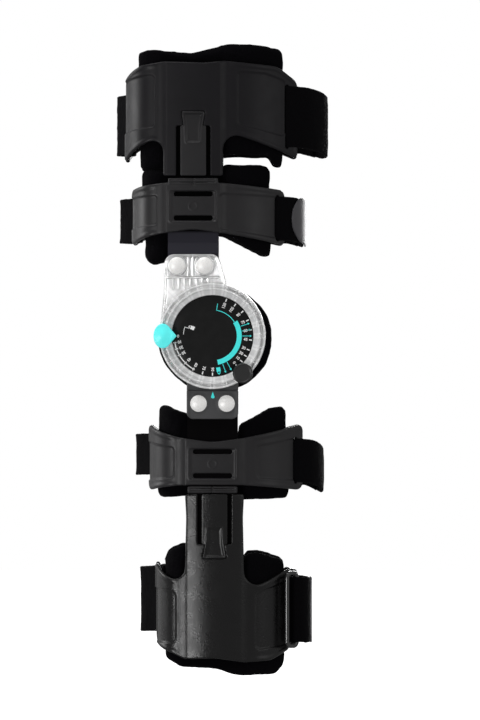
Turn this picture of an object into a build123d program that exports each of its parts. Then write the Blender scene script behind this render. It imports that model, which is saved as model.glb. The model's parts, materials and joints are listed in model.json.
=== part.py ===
from build123d import *
import os
from dataclasses import dataclass
from math import cos, radians, sin, tan

# A hinged knee brace with a mirrored upright on each side of the leg.
# Origin: on the knee axis, midway between the two hinges. +Z runs up the thigh,
# +X points to the back of the leg and -Y to the lateral (outer) side.
# The lateral upright is modelled and then mirrored for the medial one.
# "d" is a distance outwards from the middle of the leg, so it lies at y = -d.
# "h" is a distance from the knee axis along the limb: up for the thigh, down for the calf.

# ---- uprights and channels (mm) ----
BAR_WIDTH = 38.0
BAR_THICK = 3.0
BAR_D = 66.0              # inner face of a bar inside its cuffs
THIGH_MID = -14.5         # the thigh bar runs this far in front of the knee axis
CALF_MID = 0.0
CHANNEL_WIDTH = 45.0      # raised channel of a cuff, which holds the bar
CHANNEL_FACE_D = 71.5
CHANNEL_BACK_D = 64.4
BAR_PLAY = 0.25
WING_D = 68.3             # outer skin of a wing beside the channel
WALL = 2.6
RECESS = 0.8              # depth of the window and of the thumb grip
WINDOW = (34.5, 23.0)     # recess in the face of a small cuff
CROSS_SLOT = (29.0, 3.4)
CROSS_SLOT_STEP = 9.0     # from the window's middle to each cross slot

# ---- padding and straps ----
PAD_DEPTH = 4.1           # from the wing's outer skin to the pad
PAD_THICK = 8.0
STRAP_THICK = 2.4
STRAP_GAP = 0.6
HOOK_TAB_THICK = 1.6
KNEE_PAD_MID = (1.6, -2.0)
KNEE_PAD_HALF = (43.4, 40.8)
KNEE_PAD_LAYER = (52.0, 64.8)

# ---- hinge ----
RING_R = 39.75
RING_WALL_R = 34.5
DIAL_R = 30.5
GROOVE_R = (36.4, 38.2)
GROOVE_DEEP = 3.0
HUB_R = 34.0
PIVOT_R = 4.0
PIVOT_PLAY = 0.05
BACK_LAYER = (66.5, 69.5)
HUB_LAYER = (69.8, 73.8)
FLOOR_LAYER = (74.1, 75.6)
DIAL_LAYER = (75.6, 77.0)
RING_FACE_D = 82.0
NECK_FACE_D = 79.0
ARM_FACE_D = 76.0
BUTTON_LAYER = (82.2, 86.0)
TOOTH_COUNT = 24
TOOTH_DEEP = 1.2
TOOTH_NOTCH = 6.4
FLEXION_ZERO = -51.0      # where the flexion stop stands at 0 degrees, from +X
EXTENSION_ZERO = 180.0

# ---- rivets ----
RIVET_R = 2.5
RIVET_HEAD_R = 6.2
RIVET_DOME = 2.0
RIVET_BACK_THICK = 1.4
UPPER_RIVET_MID = THIGH_MID - 1.8
UPPER_RIVET_H = 52.9
UPPER_RIVET_SPAN = 20.6
LOWER_RIVET_H = 50.6
LOWER_RIVET_SPAN = 21.0

# ---- sliding length adjustment ----
TRAVEL = 60.0
TAB_WIDTH = 19.5
TAB_SLIT = 2.4
TAB_ROOT_GAP = 0.3
NIB = (10.0, 5.0)         # the tab's catch, across and along the bar
NIB_PLAY = 0.3


@dataclass
class Cuff:
    """One cuff on an upright: a channel over the bar and a wing on each side."""

    name: str
    way: int              # +1 on the thigh, -1 on the calf
    mid: float            # X of the channel's centre
    front: float          # X of the front wing's tip
    back: float           # X of the back wing's tip
    tip_d: tuple          # d of the front and the back tip
    lean: tuple           # angle of each tip away from straight inwards
    slot_in: float        # from the back tip to the strap slot
    slot_wide: float
    strap_h: tuple        # lower and upper edge of the back strap
    front_strap_h: tuple
    loop: tuple           # X of the front and the back strap's farthest point


THIGH_CUFF = Cuff("thigh_cuff", 1, THIGH_MID, -60.8, 54.4, (38, 45), (15, 48), 9.0, 3.0,
                  (72, 105), (71, 104), (-70, 69))
CALF_CUFF = Cuff("calf_cuff", -1, CALF_MID, -48.0, 68.0, (38, 42), (15, 48), 9.0, 3.0,
                 (77, 110), (73, 104), (-58, 84))
THIGH_SHELL = Cuff("thigh_shell", 1, THIGH_MID, -66.0, 64.0, (36, 43), (12, 50), 12.0, 3.4,
                   (142, 188), (137, 182), (-72, 87))
CALF_SHELL = Cuff("calf_shell", -1, CALF_MID + 1.5, -43.0, 59.0, (40, 45), (12, 48), 6.0, 3.4,
                  (181, 230), (173, 222), (-54.5, 71.5))

# Near and far edges of the two small cuffs at the channel and at the wing tips.
SMALL_NEAR = {"thigh_cuff": (80.0, 68.0), "calf_cuff": (79.5, 66.0)}
SMALL_FAR = {"thigh_cuff": (115.0, 109.5), "calf_cuff": (112.0, 116.0)}
# The two long shells: mouth of the stem, arches and tips beside it, then the far edge.
MOUTH = {"thigh_shell": 120.0, "calf_shell": 118.5}
ARCH = {"thigh_shell": (150.0, 154.0), "calf_shell": (186.0, 191.0)}
TIP_NEAR = {"thigh_shell": (131.0, 135.0), "calf_shell": (170.0, 174.0)}
TIP_FAR = {"thigh_shell": (191.0, 191.0), "calf_shell": (231.0, 235.0)}
FAR_EDGE = {"thigh_shell": 205.0, "calf_shell": 244.0}
TAB_ROOT = {"thigh_shell": 158.0, "calf_shell": 154.5}
FAR_CORNER = 15.0
NIB_H = 6.0               # from the stem's mouth to the middle of the nib


# ---------------------------------------------------------------- outlines

def rounded_outline(corners):
    """Face through corners (x, y, radius), with each corner rounded by an arc."""
    arcs = []
    for i, (x, y, radius) in enumerate(corners):
        corner = Vector(x, y)
        before = (Vector(*corners[i - 1][:2]) - corner).normalized()
        after = (Vector(*corners[(i + 1) % len(corners)][:2]) - corner).normalized()
        half = radians(before.get_angle(after) / 2)
        middle = corner + (before + after).normalized() * (radius / sin(half) - radius)
        reach = radius / tan(half)
        arcs.append((corner + before * reach, middle, corner + after * reach))
    edges = []
    for i, (start, middle, end) in enumerate(arcs):
        edges.append(ThreePointArc(start, middle, end))
        edges.append(Line(end, arcs[(i + 1) % len(arcs)][0]))
    return make_face(edges)


def slab(face, inner_d, outer_d):
    """Extrude an outline drawn in X and Z between two outward distances."""
    return extrude(Plane.XZ.offset(inner_d) * face, outer_d - inner_d, dir=(0, -1, 0))


def prism(face, low, high):
    """Extrude a cross-section drawn in X and Y between two heights."""
    return extrude(Plane.XY.offset(low) * face, high - low, dir=(0, 0, 1))


def disc(radius, layer, x=0.0, z=0.0):
    """Disc whose flat sides face inwards and outwards."""
    return slab(Pos(x, z) * Circle(radius), *layer)


def block(x_span, layer, z_span):
    """Box given by its spans in X, in d and in Z."""
    size = (x_span[1] - x_span[0], layer[1] - layer[0], abs(z_span[1] - z_span[0]))
    centre = (sum(x_span) / 2, -sum(layer) / 2, sum(z_span) / 2)
    return Pos(*centre) * Box(*size)


# ---------------------------------------------------------------- cuffs

def wing_curve(cuff, side, depth):
    """A wing's line in the XY plane, `depth` under its skin; side -1 is front, +1 back."""
    tip_x, tip_d = (cuff.front, cuff.tip_d[0]) if side < 0 else (cuff.back, cuff.tip_d[1])
    lean = radians(cuff.lean[0] if side < 0 else cuff.lean[1])
    root = (cuff.mid + side * CHANNEL_WIDTH / 2, depth - WING_D)
    tip = (tip_x - side * depth * cos(lean), depth * sin(lean) - tip_d)
    return Spline(root, tip, tangents=[(side, 0), (side * sin(lean), cos(lean))])


def band_face(outer, inner):
    """Face between two curves that run the same way."""
    return make_face([outer, inner, Line(outer @ 0, inner @ 0), Line(outer @ 1, inner @ 1)])


def cuff_section(cuff):
    """Cross-section of a cuff: its channel, hollow for the bar, and two wings."""
    height = CHANNEL_FACE_D - CHANNEL_BACK_D
    middle_d = (CHANNEL_FACE_D + CHANNEL_BACK_D) / 2
    section = Pos(cuff.mid, -middle_d) * Rectangle(CHANNEL_WIDTH, height)
    for side in (-1, 1):
        section += band_face(wing_curve(cuff, side, 0), wing_curve(cuff, side, WALL))
    hollow = Rectangle(BAR_WIDTH + 2 * BAR_PLAY, BAR_THICK + 2 * BAR_PLAY)
    return section - Pos(cuff_bar_mid(cuff), -(BAR_D + BAR_THICK / 2)) * hollow


def cuff_bar_mid(cuff):
    return THIGH_MID if cuff.way > 0 else CALF_MID


def pad_section(cuff):
    """Cross-section of the pad that lines a cuff."""
    outer_d = WING_D - PAD_DEPTH
    section = Pos(cuff.mid, PAD_THICK / 2 - outer_d) * Rectangle(CHANNEL_WIDTH, PAD_THICK)
    for side in (-1, 1):
        section += band_face(
            wing_curve(cuff, side, PAD_DEPTH), wing_curve(cuff, side, PAD_DEPTH + PAD_THICK)
        )
    return section


def cut_to_outline(section, cuff, corners):
    """Extrude a cross-section and trim it to an outline given in X and h."""
    placed = [(x, cuff.way * h, radius) for x, h, radius in corners]
    heights = [z for _, z, _ in placed]
    return prism(section, min(heights), max(heights)) & slab(rounded_outline(placed), 0, 100)


def small_outline(cuff):
    """Waisted outline of a small cuff, whose wings reach towards the knee."""
    near, near_tip = SMALL_NEAR[cuff.name]
    far, far_tip = SMALL_FAR[cuff.name]
    left, right = cuff.mid - CHANNEL_WIDTH / 2, cuff.mid + CHANNEL_WIDTH / 2
    return [
        (cuff.front, near_tip, 3), (left, near - 3, 30), (cuff.mid, near, 40), (right, near - 3, 30),
        (cuff.back, near_tip, 3), (cuff.back, far_tip, 6), (right, far, 20), (left, far, 20),
        (cuff.front, far_tip, 6),
    ]


def long_outline(cuff):
    """Outline of a long shell: a stem that widens through two arches into the wings."""
    stem = CHANNEL_WIDTH / 2
    mouth, far = MOUTH[cuff.name], FAR_EDGE[cuff.name]
    front_arch, back_arch = ARCH[cuff.name]
    front_near, back_near = TIP_NEAR[cuff.name]
    front_far, back_far = TIP_FAR[cuff.name]
    return [
        (cuff.mid - stem, mouth, 1.5), (cuff.mid + stem, mouth, 1.5),
        (cuff.mid + stem, back_arch, 10), (cuff.back, back_near, 3), (cuff.back, back_far, 8),
        (cuff.back - FAR_CORNER, far, 20), (cuff.front + FAR_CORNER, far, 14),
        (cuff.front, front_far, 6), (cuff.front, front_near, 2), (cuff.mid - stem, front_arch, 8),
    ]


def strap_slot(cuff):
    """The slot near the back wing's tip that the back strap passes through."""
    left = cuff.back - cuff.slot_in
    low, high = cuff.strap_h
    z_span = sorted((cuff.way * (low - 1.5), cuff.way * (high + 1.5)))
    return block((left, left + cuff.slot_wide), (30, 75), z_span)


def small_cuff(cuff):
    """Small cuff with a recessed window and two cross slots over the bar."""
    solid = cut_to_outline(cuff_section(cuff), cuff, small_outline(cuff)) - strap_slot(cuff)
    middle = cuff.way * (sum(SMALL_NEAR[cuff.name]) + 2 * SMALL_FAR[cuff.name][0] + 12) / 4
    window = RectangleRounded(*WINDOW, 2)
    solid -= slab(Pos(cuff.mid, middle) * window, CHANNEL_FACE_D - RECESS, CHANNEL_FACE_D + 1)
    for step in (-CROSS_SLOT_STEP, CROSS_SLOT_STEP):
        slot = Pos(cuff.mid, middle + step) * SlotOverall(*CROSS_SLOT)
        solid -= slab(slot, BAR_D + BAR_THICK, CHANNEL_FACE_D + 1)
    return solid


def tab_outline(cuff, grow, root_gap=0.0):
    """Outline of a release tab, which is free at the stem's mouth."""
    mouth = cuff.way * (MOUTH[cuff.name] - grow)
    root = cuff.way * (TAB_ROOT[cuff.name] - root_gap)
    width = TAB_WIDTH + 2 * grow
    return Pos(cuff.mid, (mouth + root) / 2) * Rectangle(width, abs(root - mouth))


def thumb_outline(cuff):
    """Thumb grip, a flared hollow around the tab's root."""
    root = cuff.way * TAB_ROOT[cuff.name]
    narrow, wide = root - cuff.way * 14, root + cuff.way * 10
    return rounded_outline([
        (cuff.mid - 6.5, narrow, 2), (cuff.mid + 6.5, narrow, 2),
        (cuff.mid + 9, wide, 2), (cuff.mid - 9, wide, 2),
    ])


def long_shell(cuff):
    """Long shell, whose stem is slit for the release tab."""
    solid = cut_to_outline(cuff_section(cuff), cuff, long_outline(cuff)) - strap_slot(cuff)
    face_d = BAR_D + BAR_THICK + BAR_PLAY
    solid -= slab(tab_outline(cuff, TAB_SLIT), face_d - BAR_PLAY, CHANNEL_FACE_D + 1)
    return solid - slab(thumb_outline(cuff), CHANNEL_FACE_D - RECESS, CHANNEL_FACE_D + 1)


def release_tab(cuff):
    """Springy tab in the stem, with a nib that reaches into the bar's slot."""
    inner = BAR_D + BAR_THICK + BAR_PLAY
    solid = slab(tab_outline(cuff, 0, TAB_ROOT_GAP), inner, CHANNEL_FACE_D)
    solid -= slab(thumb_outline(cuff), CHANNEL_FACE_D - RECESS, CHANNEL_FACE_D + 1)
    nib = Pos(cuff_bar_mid(cuff), cuff.way * (MOUTH[cuff.name] + NIB_H)) * Rectangle(*NIB)
    return solid + slab(nib, BAR_D + 1, inner)


# ---------------------------------------------------------------- pads and straps

def pad_outlines():
    """Outlines of the four pads in X and h; each stands out past its cuff."""
    return {
        "thigh_pad": [
            (-57, 124, 6), (-36, 124, 4), (-30, 136, 6), (56, 134, 6), (58, 205, 8),
            (48, 218, 8), (-6, 217, 20), (-12, 212, 20), (-57, 213, 6),
        ],
        "thigh_cuff_pad": [
            (-53, 54, 8), (-34, 54, 6), (-33, 74, 8), (6, 74, 10), (48, 59, 3),
            (48, 127, 4), (10, 129, 6), (4, 122, 6), (-53, 123, 3),
        ],
        "calf_cuff_pad": [
            (-41, 52, 2), (-19, 58, 4), (-18, 75, 6), (18, 75, 6), (20, 65, 4),
            (47, 54, 6), (60, 53, 2), (60, 121, 6), (-38, 121, 6),
        ],
        "calf_pad": [
            (-36, 158, 8), (-21, 155, 6), (-18, 166, 6), (22, 167, 6), (27, 163, 4), (56, 165, 8),
            (54, 252, 10), (20, 253, 30), (-33, 248, 10),
        ],
    }


def strap_curve(cuff, side, offset):
    """A strap's line from the lateral wing around the limb to the medial wing."""
    skin = wing_curve(cuff, side, 0)
    loop_x = cuff.loop[0] if side < 0 else cuff.loop[1]
    # A back strap starts at the slot and lies over the wing; a front one is inside it.
    start = 0.82
    lateral = []
    for along in (start, 1.0):
        way = skin % along
        normal = Vector(way.Y, -way.X) * side
        lateral.append((skin @ along) + normal * offset)
    top = offset - (STRAP_GAP + STRAP_THICK if side > 0 else -WALL - STRAP_GAP)
    middle = Vector(loop_x + side * top, 0)
    medial = [Vector(p.X, -p.Y) for p in reversed(lateral)]
    first = skin % start
    return Spline(*lateral, middle, *medial, tangents=[first, Vector(-first.X, first.Y)])


def strap(cuff, side):
    """A flat webbing strap between the lateral and the medial wings of one cuff."""
    outer = STRAP_GAP + STRAP_THICK if side > 0 else -WALL - STRAP_GAP
    face = band_face(
        strap_curve(cuff, side, outer), strap_curve(cuff, side, outer - STRAP_THICK)
    )
    low, high = sorted(cuff.way * h for h in (cuff.strap_h if side > 0 else cuff.front_strap_h))
    return prism(face, low, high)


def hook_tab(cuff, start, end):
    """Hook tab that closes a back strap, lying on its outer face."""
    skin = strap_curve(cuff, 1, STRAP_GAP + STRAP_THICK)
    curves = []
    for lift in (0.2, 0.2 + HOOK_TAB_THICK):
        points = []
        for step in range(5):
            along = start + (end - start) * step / 4
            way = skin % along
            points.append((skin @ along) + Vector(way.Y, -way.X) * lift)
        curves.append(Spline(*points))
    low, high = sorted(cuff.way * h for h in cuff.strap_h)
    return prism(band_face(*curves), low + 0.5, high - 0.5)


def strap_ring():
    """Oblong wire ring that the calf's back strap turns around."""
    wire_r, length, width = 1.6, 58.0, 13.0
    cuff = CALF_SHELL
    tip = wing_curve(cuff, 1, 0) @ 1.0
    heading = radians(cuff.lean[1])
    outward = Vector(cos(heading), -sin(heading))
    along = Vector(sin(heading), cos(heading))
    centre_h = -sum(cuff.strap_h) / 2
    centre = tip + outward * (wire_r + 4.2) - along * 4.6 + Vector(0, 0, centre_h)
    flat = Plane(origin=centre, x_dir=along, z_dir=outward)
    outer = RectangleRounded(width, length, 5.0)
    inner = RectangleRounded(width - 4 * wire_r, length - 4 * wire_r, 2.0)
    return fillet(extrude(flat * (outer - inner), wire_r, both=True).edges(), 1.2)


# ---------------------------------------------------------------- bars and hinge

def bar_profile(way, steps):
    """Side view of a bar in the YZ plane, from (d, h) points along its inner face."""
    inner = [(-d, way * h) for d, h in steps]
    outer = [(-(d + BAR_THICK), way * h) for d, h in steps]
    return make_face(Polyline(*inner, *reversed(outer), close=True))


def bar_strip(mid, profile):
    """A bar of full width with the given side view."""
    return extrude(Plane.YZ.offset(mid - BAR_WIDTH / 2) * profile, BAR_WIDTH, dir=(1, 0, 0))


def nib_slot(cuff):
    """Long slot in a bar that the release tab's nib slides along."""
    start = MOUTH[cuff.name] + NIB_H - NIB[1] / 2 - NIB_PLAY
    end = start + NIB[1] + TRAVEL + 2 * NIB_PLAY
    half = NIB[0] / 2 + NIB_PLAY
    mid = cuff_bar_mid(cuff)
    z_span = sorted((cuff.way * start, cuff.way * end))
    return block((mid - half, mid + half), (BAR_D - 10, BAR_D + 10), z_span)


def rivet_places(mid, span):
    return (mid - span / 2, mid + span / 2)


def upper_bar():
    """Thigh bar, which steps outwards to the hinge and ends in two rivet lugs."""
    tang_d, end_h, top_h = BACK_LAYER[1], 47.0, 194.0
    profile = bar_profile(1, [(tang_d, end_h), (tang_d, 62), (BAR_D, 70), (BAR_D, top_h)])
    solid = bar_strip(THIGH_MID, profile) - nib_slot(THIGH_SHELL)
    lug_r, root_h = 5.6, 59.0
    span = (THIGH_MID - BAR_WIDTH, THIGH_MID + BAR_WIDTH)
    solid -= block(span, (60, 80), (end_h - 1, root_h))
    layer = (tang_d, tang_d + BAR_THICK)
    for x in rivet_places(UPPER_RIVET_MID, UPPER_RIVET_SPAN):
        solid += block((x - lug_r, x + lug_r), layer, (UPPER_RIVET_H, root_h))
        solid += disc(lug_r, layer, x, UPPER_RIVET_H)
        solid -= disc(RIVET_R, (60, 80), x, UPPER_RIVET_H)
    return solid


def lower_bar():
    """Calf bar, which is riveted behind the hinge arm and steps inwards below it."""
    tang_d = HUB_LAYER[0] - BAR_THICK
    top_h, foot_h = 42.5, 192.0
    profile = bar_profile(-1, [(tang_d, top_h), (tang_d, 63), (BAR_D, 68), (BAR_D, foot_h)])
    solid = bar_strip(CALF_MID, profile) - nib_slot(CALF_SHELL)
    for x in rivet_places(CALF_MID, LOWER_RIVET_SPAN):
        solid -= disc(RIVET_R, (60, 80), x, -LOWER_RIVET_H)
    return solid


def cover_outline():
    """Neck of the clear cover: straight in front, flared behind, running into the ring."""
    left, right = THIGH_MID - 21.1, THIGH_MID + 18.6
    return rounded_outline([
        (left, 61.3, 7), (right, 61.3, 7), (right + 3.5, 50, 6), (right + 8, 34, 4),
        (0, 10, 4), (left - 4, 5, 1), (left - 1, 30, 20),
    ])


def hinge_cover():
    """Clear cover: a ribbed neck on the bar and a toothed ring around the dial."""
    solid = disc(RING_R, (FLOOR_LAYER[0], RING_FACE_D))
    neck = slab(cover_outline(), BACK_LAYER[1] + BAR_THICK, NECK_FACE_D)
    solid += neck - disc(RING_R + 2, (0, FLOOR_LAYER[0]))
    solid -= disc(RING_WALL_R, (FLOOR_LAYER[1], RING_FACE_D + 1))
    groove = Circle(GROOVE_R[1]) - Circle(GROOVE_R[0])
    solid -= slab(groove, RING_FACE_D - GROOVE_DEEP, RING_FACE_D + 1)
    notch_layer = (RING_FACE_D - TOOTH_DEEP, RING_FACE_D + 1)
    notch = block((RING_WALL_R + 1, RING_R + 1), notch_layer, (-TOOTH_NOTCH / 2, TOOTH_NOTCH / 2))
    for i in range(TOOTH_COUNT):
        solid -= Rot(0, i * 360 / TOOTH_COUNT, 0) * notch
    for x in rivet_places(UPPER_RIVET_MID, UPPER_RIVET_SPAN):
        solid -= disc(RIVET_R, (70, 90), x, UPPER_RIVET_H)
    for step in range(-1, 3):
        x = THIGH_MID - 4 + step * 5.5
        solid -= block((x, x + 2.6), (NECK_FACE_D - 2.5, NECK_FACE_D + 1), (43.5, 49))
    return solid - disc(PIVOT_R, (70, 80))


def hinge_backplate():
    """Plate behind the hinge, riveted to the bar and carrying the pivot."""
    neck = block((THIGH_MID - 19, THIGH_MID + 17), BACK_LAYER, (0, 59.5))
    solid = disc(38, BACK_LAYER) + neck - disc(PIVOT_R, (60, 80))
    for x in rivet_places(UPPER_RIVET_MID, UPPER_RIVET_SPAN):
        solid -= disc(RIVET_R, (60, 80), x, UPPER_RIVET_H)
    return solid


def lower_arm():
    """Turning hub with the moulded arm that carries the calf bar."""
    half, foot_h = BAR_WIDTH / 2 + 0.3, 62.3
    hub = disc(HUB_R, HUB_LAYER) + block((-half, half), HUB_LAYER, (-45, 0))
    boot = rounded_outline([(-half, -41, 1), (half, -41, 1), (half, -foot_h, 5), (-half, -foot_h, 5)])
    solid = hub + slab(boot, HUB_LAYER[0], ARM_FACE_D)
    for x in rivet_places(CALF_MID, LOWER_RIVET_SPAN):
        solid -= disc(RIVET_R, (60, 80), x, -LOWER_RIVET_H)
    return solid - disc(PIVOT_R + PIVOT_PLAY, (60, 80))


def pivot_rivet():
    """Shouldered rivet through backplate, hub and cover floor."""
    return disc(PIVOT_R, (65.2, FLOOR_LAYER[1])) + disc(7, (65.2, BACK_LAYER[0]))


def domed_rivet(x, z, face_d, back_d):
    """Rivet with a shallow dome outside and a flat head inside."""
    ball_r = (RIVET_HEAD_R**2 + RIVET_DOME**2) / (2 * RIVET_DOME)
    ball = Pos(x, ball_r - face_d - RIVET_DOME, z) * Sphere(ball_r)
    dome = ball & disc(RIVET_HEAD_R + 1, (face_d, face_d + RIVET_DOME + 1), x, z)
    shank = disc(RIVET_R, (back_d - RIVET_BACK_THICK, face_d), x, z)
    return dome + shank + disc(4.5, (back_d - RIVET_BACK_THICK, back_d), x, z)


def rivet_pair(mid, span, z, face_d, back_d):
    return Compound(children=[domed_rivet(x, z, face_d, back_d) for x in rivet_places(mid, span)])


def stop(angle, button):
    """Range stop: a button on the ring with a foot that slides in its groove."""
    play = 0.15
    foot = Circle(GROOVE_R[1] - play) - Circle(GROOVE_R[0] + play)
    foot &= Pos(GROOVE_R[0], 0) * Rectangle(10, 10)
    solid = slab(button, *BUTTON_LAYER)
    solid += slab(foot, RING_FACE_D - GROOVE_DEEP + 0.3, BUTTON_LAYER[0])
    return Rot(0, -angle, 0) * solid


def round_button():
    return Pos(36, 0) * Circle(7.6)


def drop_button():
    """Oval drop that points at the scale."""
    centre_r, half_long, half_wide, tip_r = 37.2, 7.0, 9.2, 27.8
    share = half_long / (centre_r - tip_r)
    touch_x = centre_r - half_long * share
    touch_y = half_wide * (1 - share**2) ** 0.5
    point = make_face(Polyline((tip_r, 0), (touch_x, touch_y), (touch_x, -touch_y), close=True))
    return Pos(centre_r, 0) * Ellipse(half_long, half_wide) + point


# ---------------------------------------------------------------- the brace

def upright_pieces():
    """Every piece of the lateral upright, by name."""
    pieces = {
        "upper_bar": upper_bar(),
        "lower_bar": lower_bar(),
        "hinge_cover": hinge_cover(),
        "hinge_backplate": hinge_backplate(),
        "dial_plate": disc(DIAL_R, DIAL_LAYER),
        "lower_arm": lower_arm(),
        "pivot_rivet": pivot_rivet(),
        "flexion_stop": stop(FLEXION_ZERO, round_button()),
        "extension_stop": stop(EXTENSION_ZERO, drop_button()),
        "upper_rivets": rivet_pair(
            UPPER_RIVET_MID, UPPER_RIVET_SPAN, UPPER_RIVET_H, NECK_FACE_D, BACK_LAYER[0]
        ),
        "lower_rivets": rivet_pair(
            CALF_MID, LOWER_RIVET_SPAN, -LOWER_RIVET_H, ARM_FACE_D, HUB_LAYER[0] - BAR_THICK
        ),
        "knee_pad": slab(Pos(*KNEE_PAD_MID) * Ellipse(*KNEE_PAD_HALF), *KNEE_PAD_LAYER),
        "calf_strap_ring": strap_ring(),
    }
    for cuff in (THIGH_CUFF, CALF_CUFF):
        pieces[cuff.name] = small_cuff(cuff)
    for cuff in (THIGH_SHELL, CALF_SHELL):
        limb = cuff.name.split("_")[0]
        pieces[cuff.name] = long_shell(cuff)
        pieces[f"{limb}_release_tab"] = release_tab(cuff)
    lined = {"thigh_pad": THIGH_SHELL, "thigh_cuff_pad": THIGH_CUFF,
             "calf_cuff_pad": CALF_CUFF, "calf_pad": CALF_SHELL}
    for name, corners in pad_outlines().items():
        pieces[name] = cut_to_outline(pad_section(lined[name]), lined[name], corners)
    return pieces


def strap_pieces():
    """The straps and hook tabs, which join the two uprights."""
    labels = {"thigh_cuff": "lower_thigh", "calf_cuff": "upper_calf",
              "thigh_shell": "upper_thigh", "calf_shell": "lower_calf"}
    pieces = {}
    for cuff in (THIGH_CUFF, CALF_CUFF, THIGH_SHELL, CALF_SHELL):
        label = labels[cuff.name]
        pieces[f"{label}_front_strap"] = strap(cuff, -1)
        pieces[f"{label}_back_strap"] = strap(cuff, 1)
        ends = (0.16, 0.5) if cuff is THIGH_CUFF else (0.74, 0.86)
        pieces[f"{label}_hook_tab"] = hook_tab(cuff, *ends)
    return pieces


os.makedirs("parts", exist_ok=True)
for piece_name, lateral in upright_pieces().items():
    export_step(lateral, f"parts/lateral_{piece_name}.step")
    export_step(mirror(lateral, about=Plane.XZ), f"parts/medial_{piece_name}.step")
for piece_name, piece in strap_pieces().items():
    export_step(piece, f"parts/{piece_name}.step")
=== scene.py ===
import json
import math
from dataclasses import dataclass

import bmesh
import bpy
import numpy as np
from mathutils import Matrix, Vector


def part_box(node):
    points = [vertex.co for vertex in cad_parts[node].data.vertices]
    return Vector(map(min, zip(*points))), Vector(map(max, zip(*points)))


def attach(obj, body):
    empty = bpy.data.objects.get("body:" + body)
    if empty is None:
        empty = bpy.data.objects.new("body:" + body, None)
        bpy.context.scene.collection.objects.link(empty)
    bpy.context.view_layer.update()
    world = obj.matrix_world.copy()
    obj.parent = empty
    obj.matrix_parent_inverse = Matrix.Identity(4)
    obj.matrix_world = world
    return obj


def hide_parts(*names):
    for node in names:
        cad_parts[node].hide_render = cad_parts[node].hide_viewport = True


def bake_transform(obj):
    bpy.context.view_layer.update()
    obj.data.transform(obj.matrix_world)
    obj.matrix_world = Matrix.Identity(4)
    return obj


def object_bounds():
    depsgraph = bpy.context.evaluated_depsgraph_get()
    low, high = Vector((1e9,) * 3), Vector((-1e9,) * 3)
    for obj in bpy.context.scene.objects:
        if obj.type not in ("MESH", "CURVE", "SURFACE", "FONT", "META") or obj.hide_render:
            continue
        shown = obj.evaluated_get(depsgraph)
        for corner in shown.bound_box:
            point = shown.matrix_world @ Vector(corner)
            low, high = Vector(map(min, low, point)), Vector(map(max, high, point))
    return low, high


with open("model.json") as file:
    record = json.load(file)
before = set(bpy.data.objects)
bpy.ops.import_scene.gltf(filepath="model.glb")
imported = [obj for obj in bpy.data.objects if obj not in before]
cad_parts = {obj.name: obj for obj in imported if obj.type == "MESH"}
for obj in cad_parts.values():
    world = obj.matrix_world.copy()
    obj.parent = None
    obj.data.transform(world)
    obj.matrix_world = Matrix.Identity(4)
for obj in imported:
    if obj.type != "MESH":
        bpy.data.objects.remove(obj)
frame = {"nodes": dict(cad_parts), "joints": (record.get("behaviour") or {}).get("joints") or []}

import openvdb
from mathutils import Matrix, Vector

# Hinged knee brace. Shapes are worked out in millimetres and scaled to metres when a
# mesh is made. The lateral upright (y < 0) is built and mirrored for the medial one.
# d is the distance outwards from the middle of the leg (d = -y on the lateral side).
# h is the distance from the knee along the limb (h = z on the thigh, -z on the calf).
# s runs round a cuff, along its skin, from the middle of its channel.

MM = 0.001
SIDES = ("lateral", "medial")
CAD_BOX = [list(corner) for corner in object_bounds()]


def box_mm(node):
    """Lowest and highest corner of a CAD node in millimetres."""
    low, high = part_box(node)
    return np.array(low) / MM, np.array(high) / MM


# ------------------------------------------------------------------ sizes from the frame

BAR_LOW, BAR_HIGH = box_mm("lateral_upper_bar")
CALF_BAR_LOW, CALF_BAR_HIGH = box_mm("lateral_lower_bar")
SHELL_LOW = box_mm("lateral_thigh_shell")[0]
RING_LOW, RING_HIGH = box_mm("lateral_hinge_cover")
DIAL_LOW, DIAL_HIGH = box_mm("lateral_dial_plate")
PAD_LOW, PAD_HIGH = box_mm("lateral_knee_pad")

THIGH_MID = (BAR_LOW[0] + BAR_HIGH[0]) / 2
CALF_MID = (CALF_BAR_LOW[0] + CALF_BAR_HIGH[0]) / 2
BAR_WIDTH = BAR_HIGH[0] - BAR_LOW[0]
CHANNEL_FACE_D = -SHELL_LOW[1]
RING_R = RING_HIGH[0]
RING_FACE_D = -RING_LOW[1]
DIAL_R = DIAL_HIGH[0]
DIAL_FACE_D = -DIAL_LOW[1]

# ------------------------------------------------------------------ design sizes (mm)

BAR_LAYER = (66.0, 69.0)      # the bar's faces inside the cuffs
BAR_PLAY = 0.25
STEM_HALF = 22.5              # half width of the channel and of a stem
SKIN_D = 68.3                 # outer skin of a wing beside the channel
WALL = 2.6
CHANNEL_INSIDE = 3.9          # the channel is this much thicker inwards than the skin
RAISE = CHANNEL_FACE_D - SKIN_D
RAMP = 6.5                    # width of the slope beside the channel
PANEL_DEEP = 0.9
PANEL_EDGE = 0.9
EDGE_R = 1.1
CHANNEL_FLAT = 20.4           # half width of the channel's crowned face
RIM_WIDE = 4.0
RIM_HIGH = 0.45
TONGUE_HALF = 9.75
SLIT = 3.0
STRAP_THICK = 2.1
SLOT_HALF = 1.5
VOXEL = 0.6
S_STEP = 0.5
S_REACH = 110.0
UNCUT = 50.0                  # a cut field of a sheet with no cuts
RIBS = 24                     # pairs of ribs round the ring
RIB_OFF = 2.1                 # degrees from the middle of a pair to each of its ribs
ROOT_PULL = (1.38, 1.35)      # how far a wing runs on straight, at its root and its tip,
TIP_PULL = (1.2, 0.97)        # for the front and the back wing
LOWEST_POWER = 1.475          # puts a sagging strap's lowest point past the middle


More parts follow.
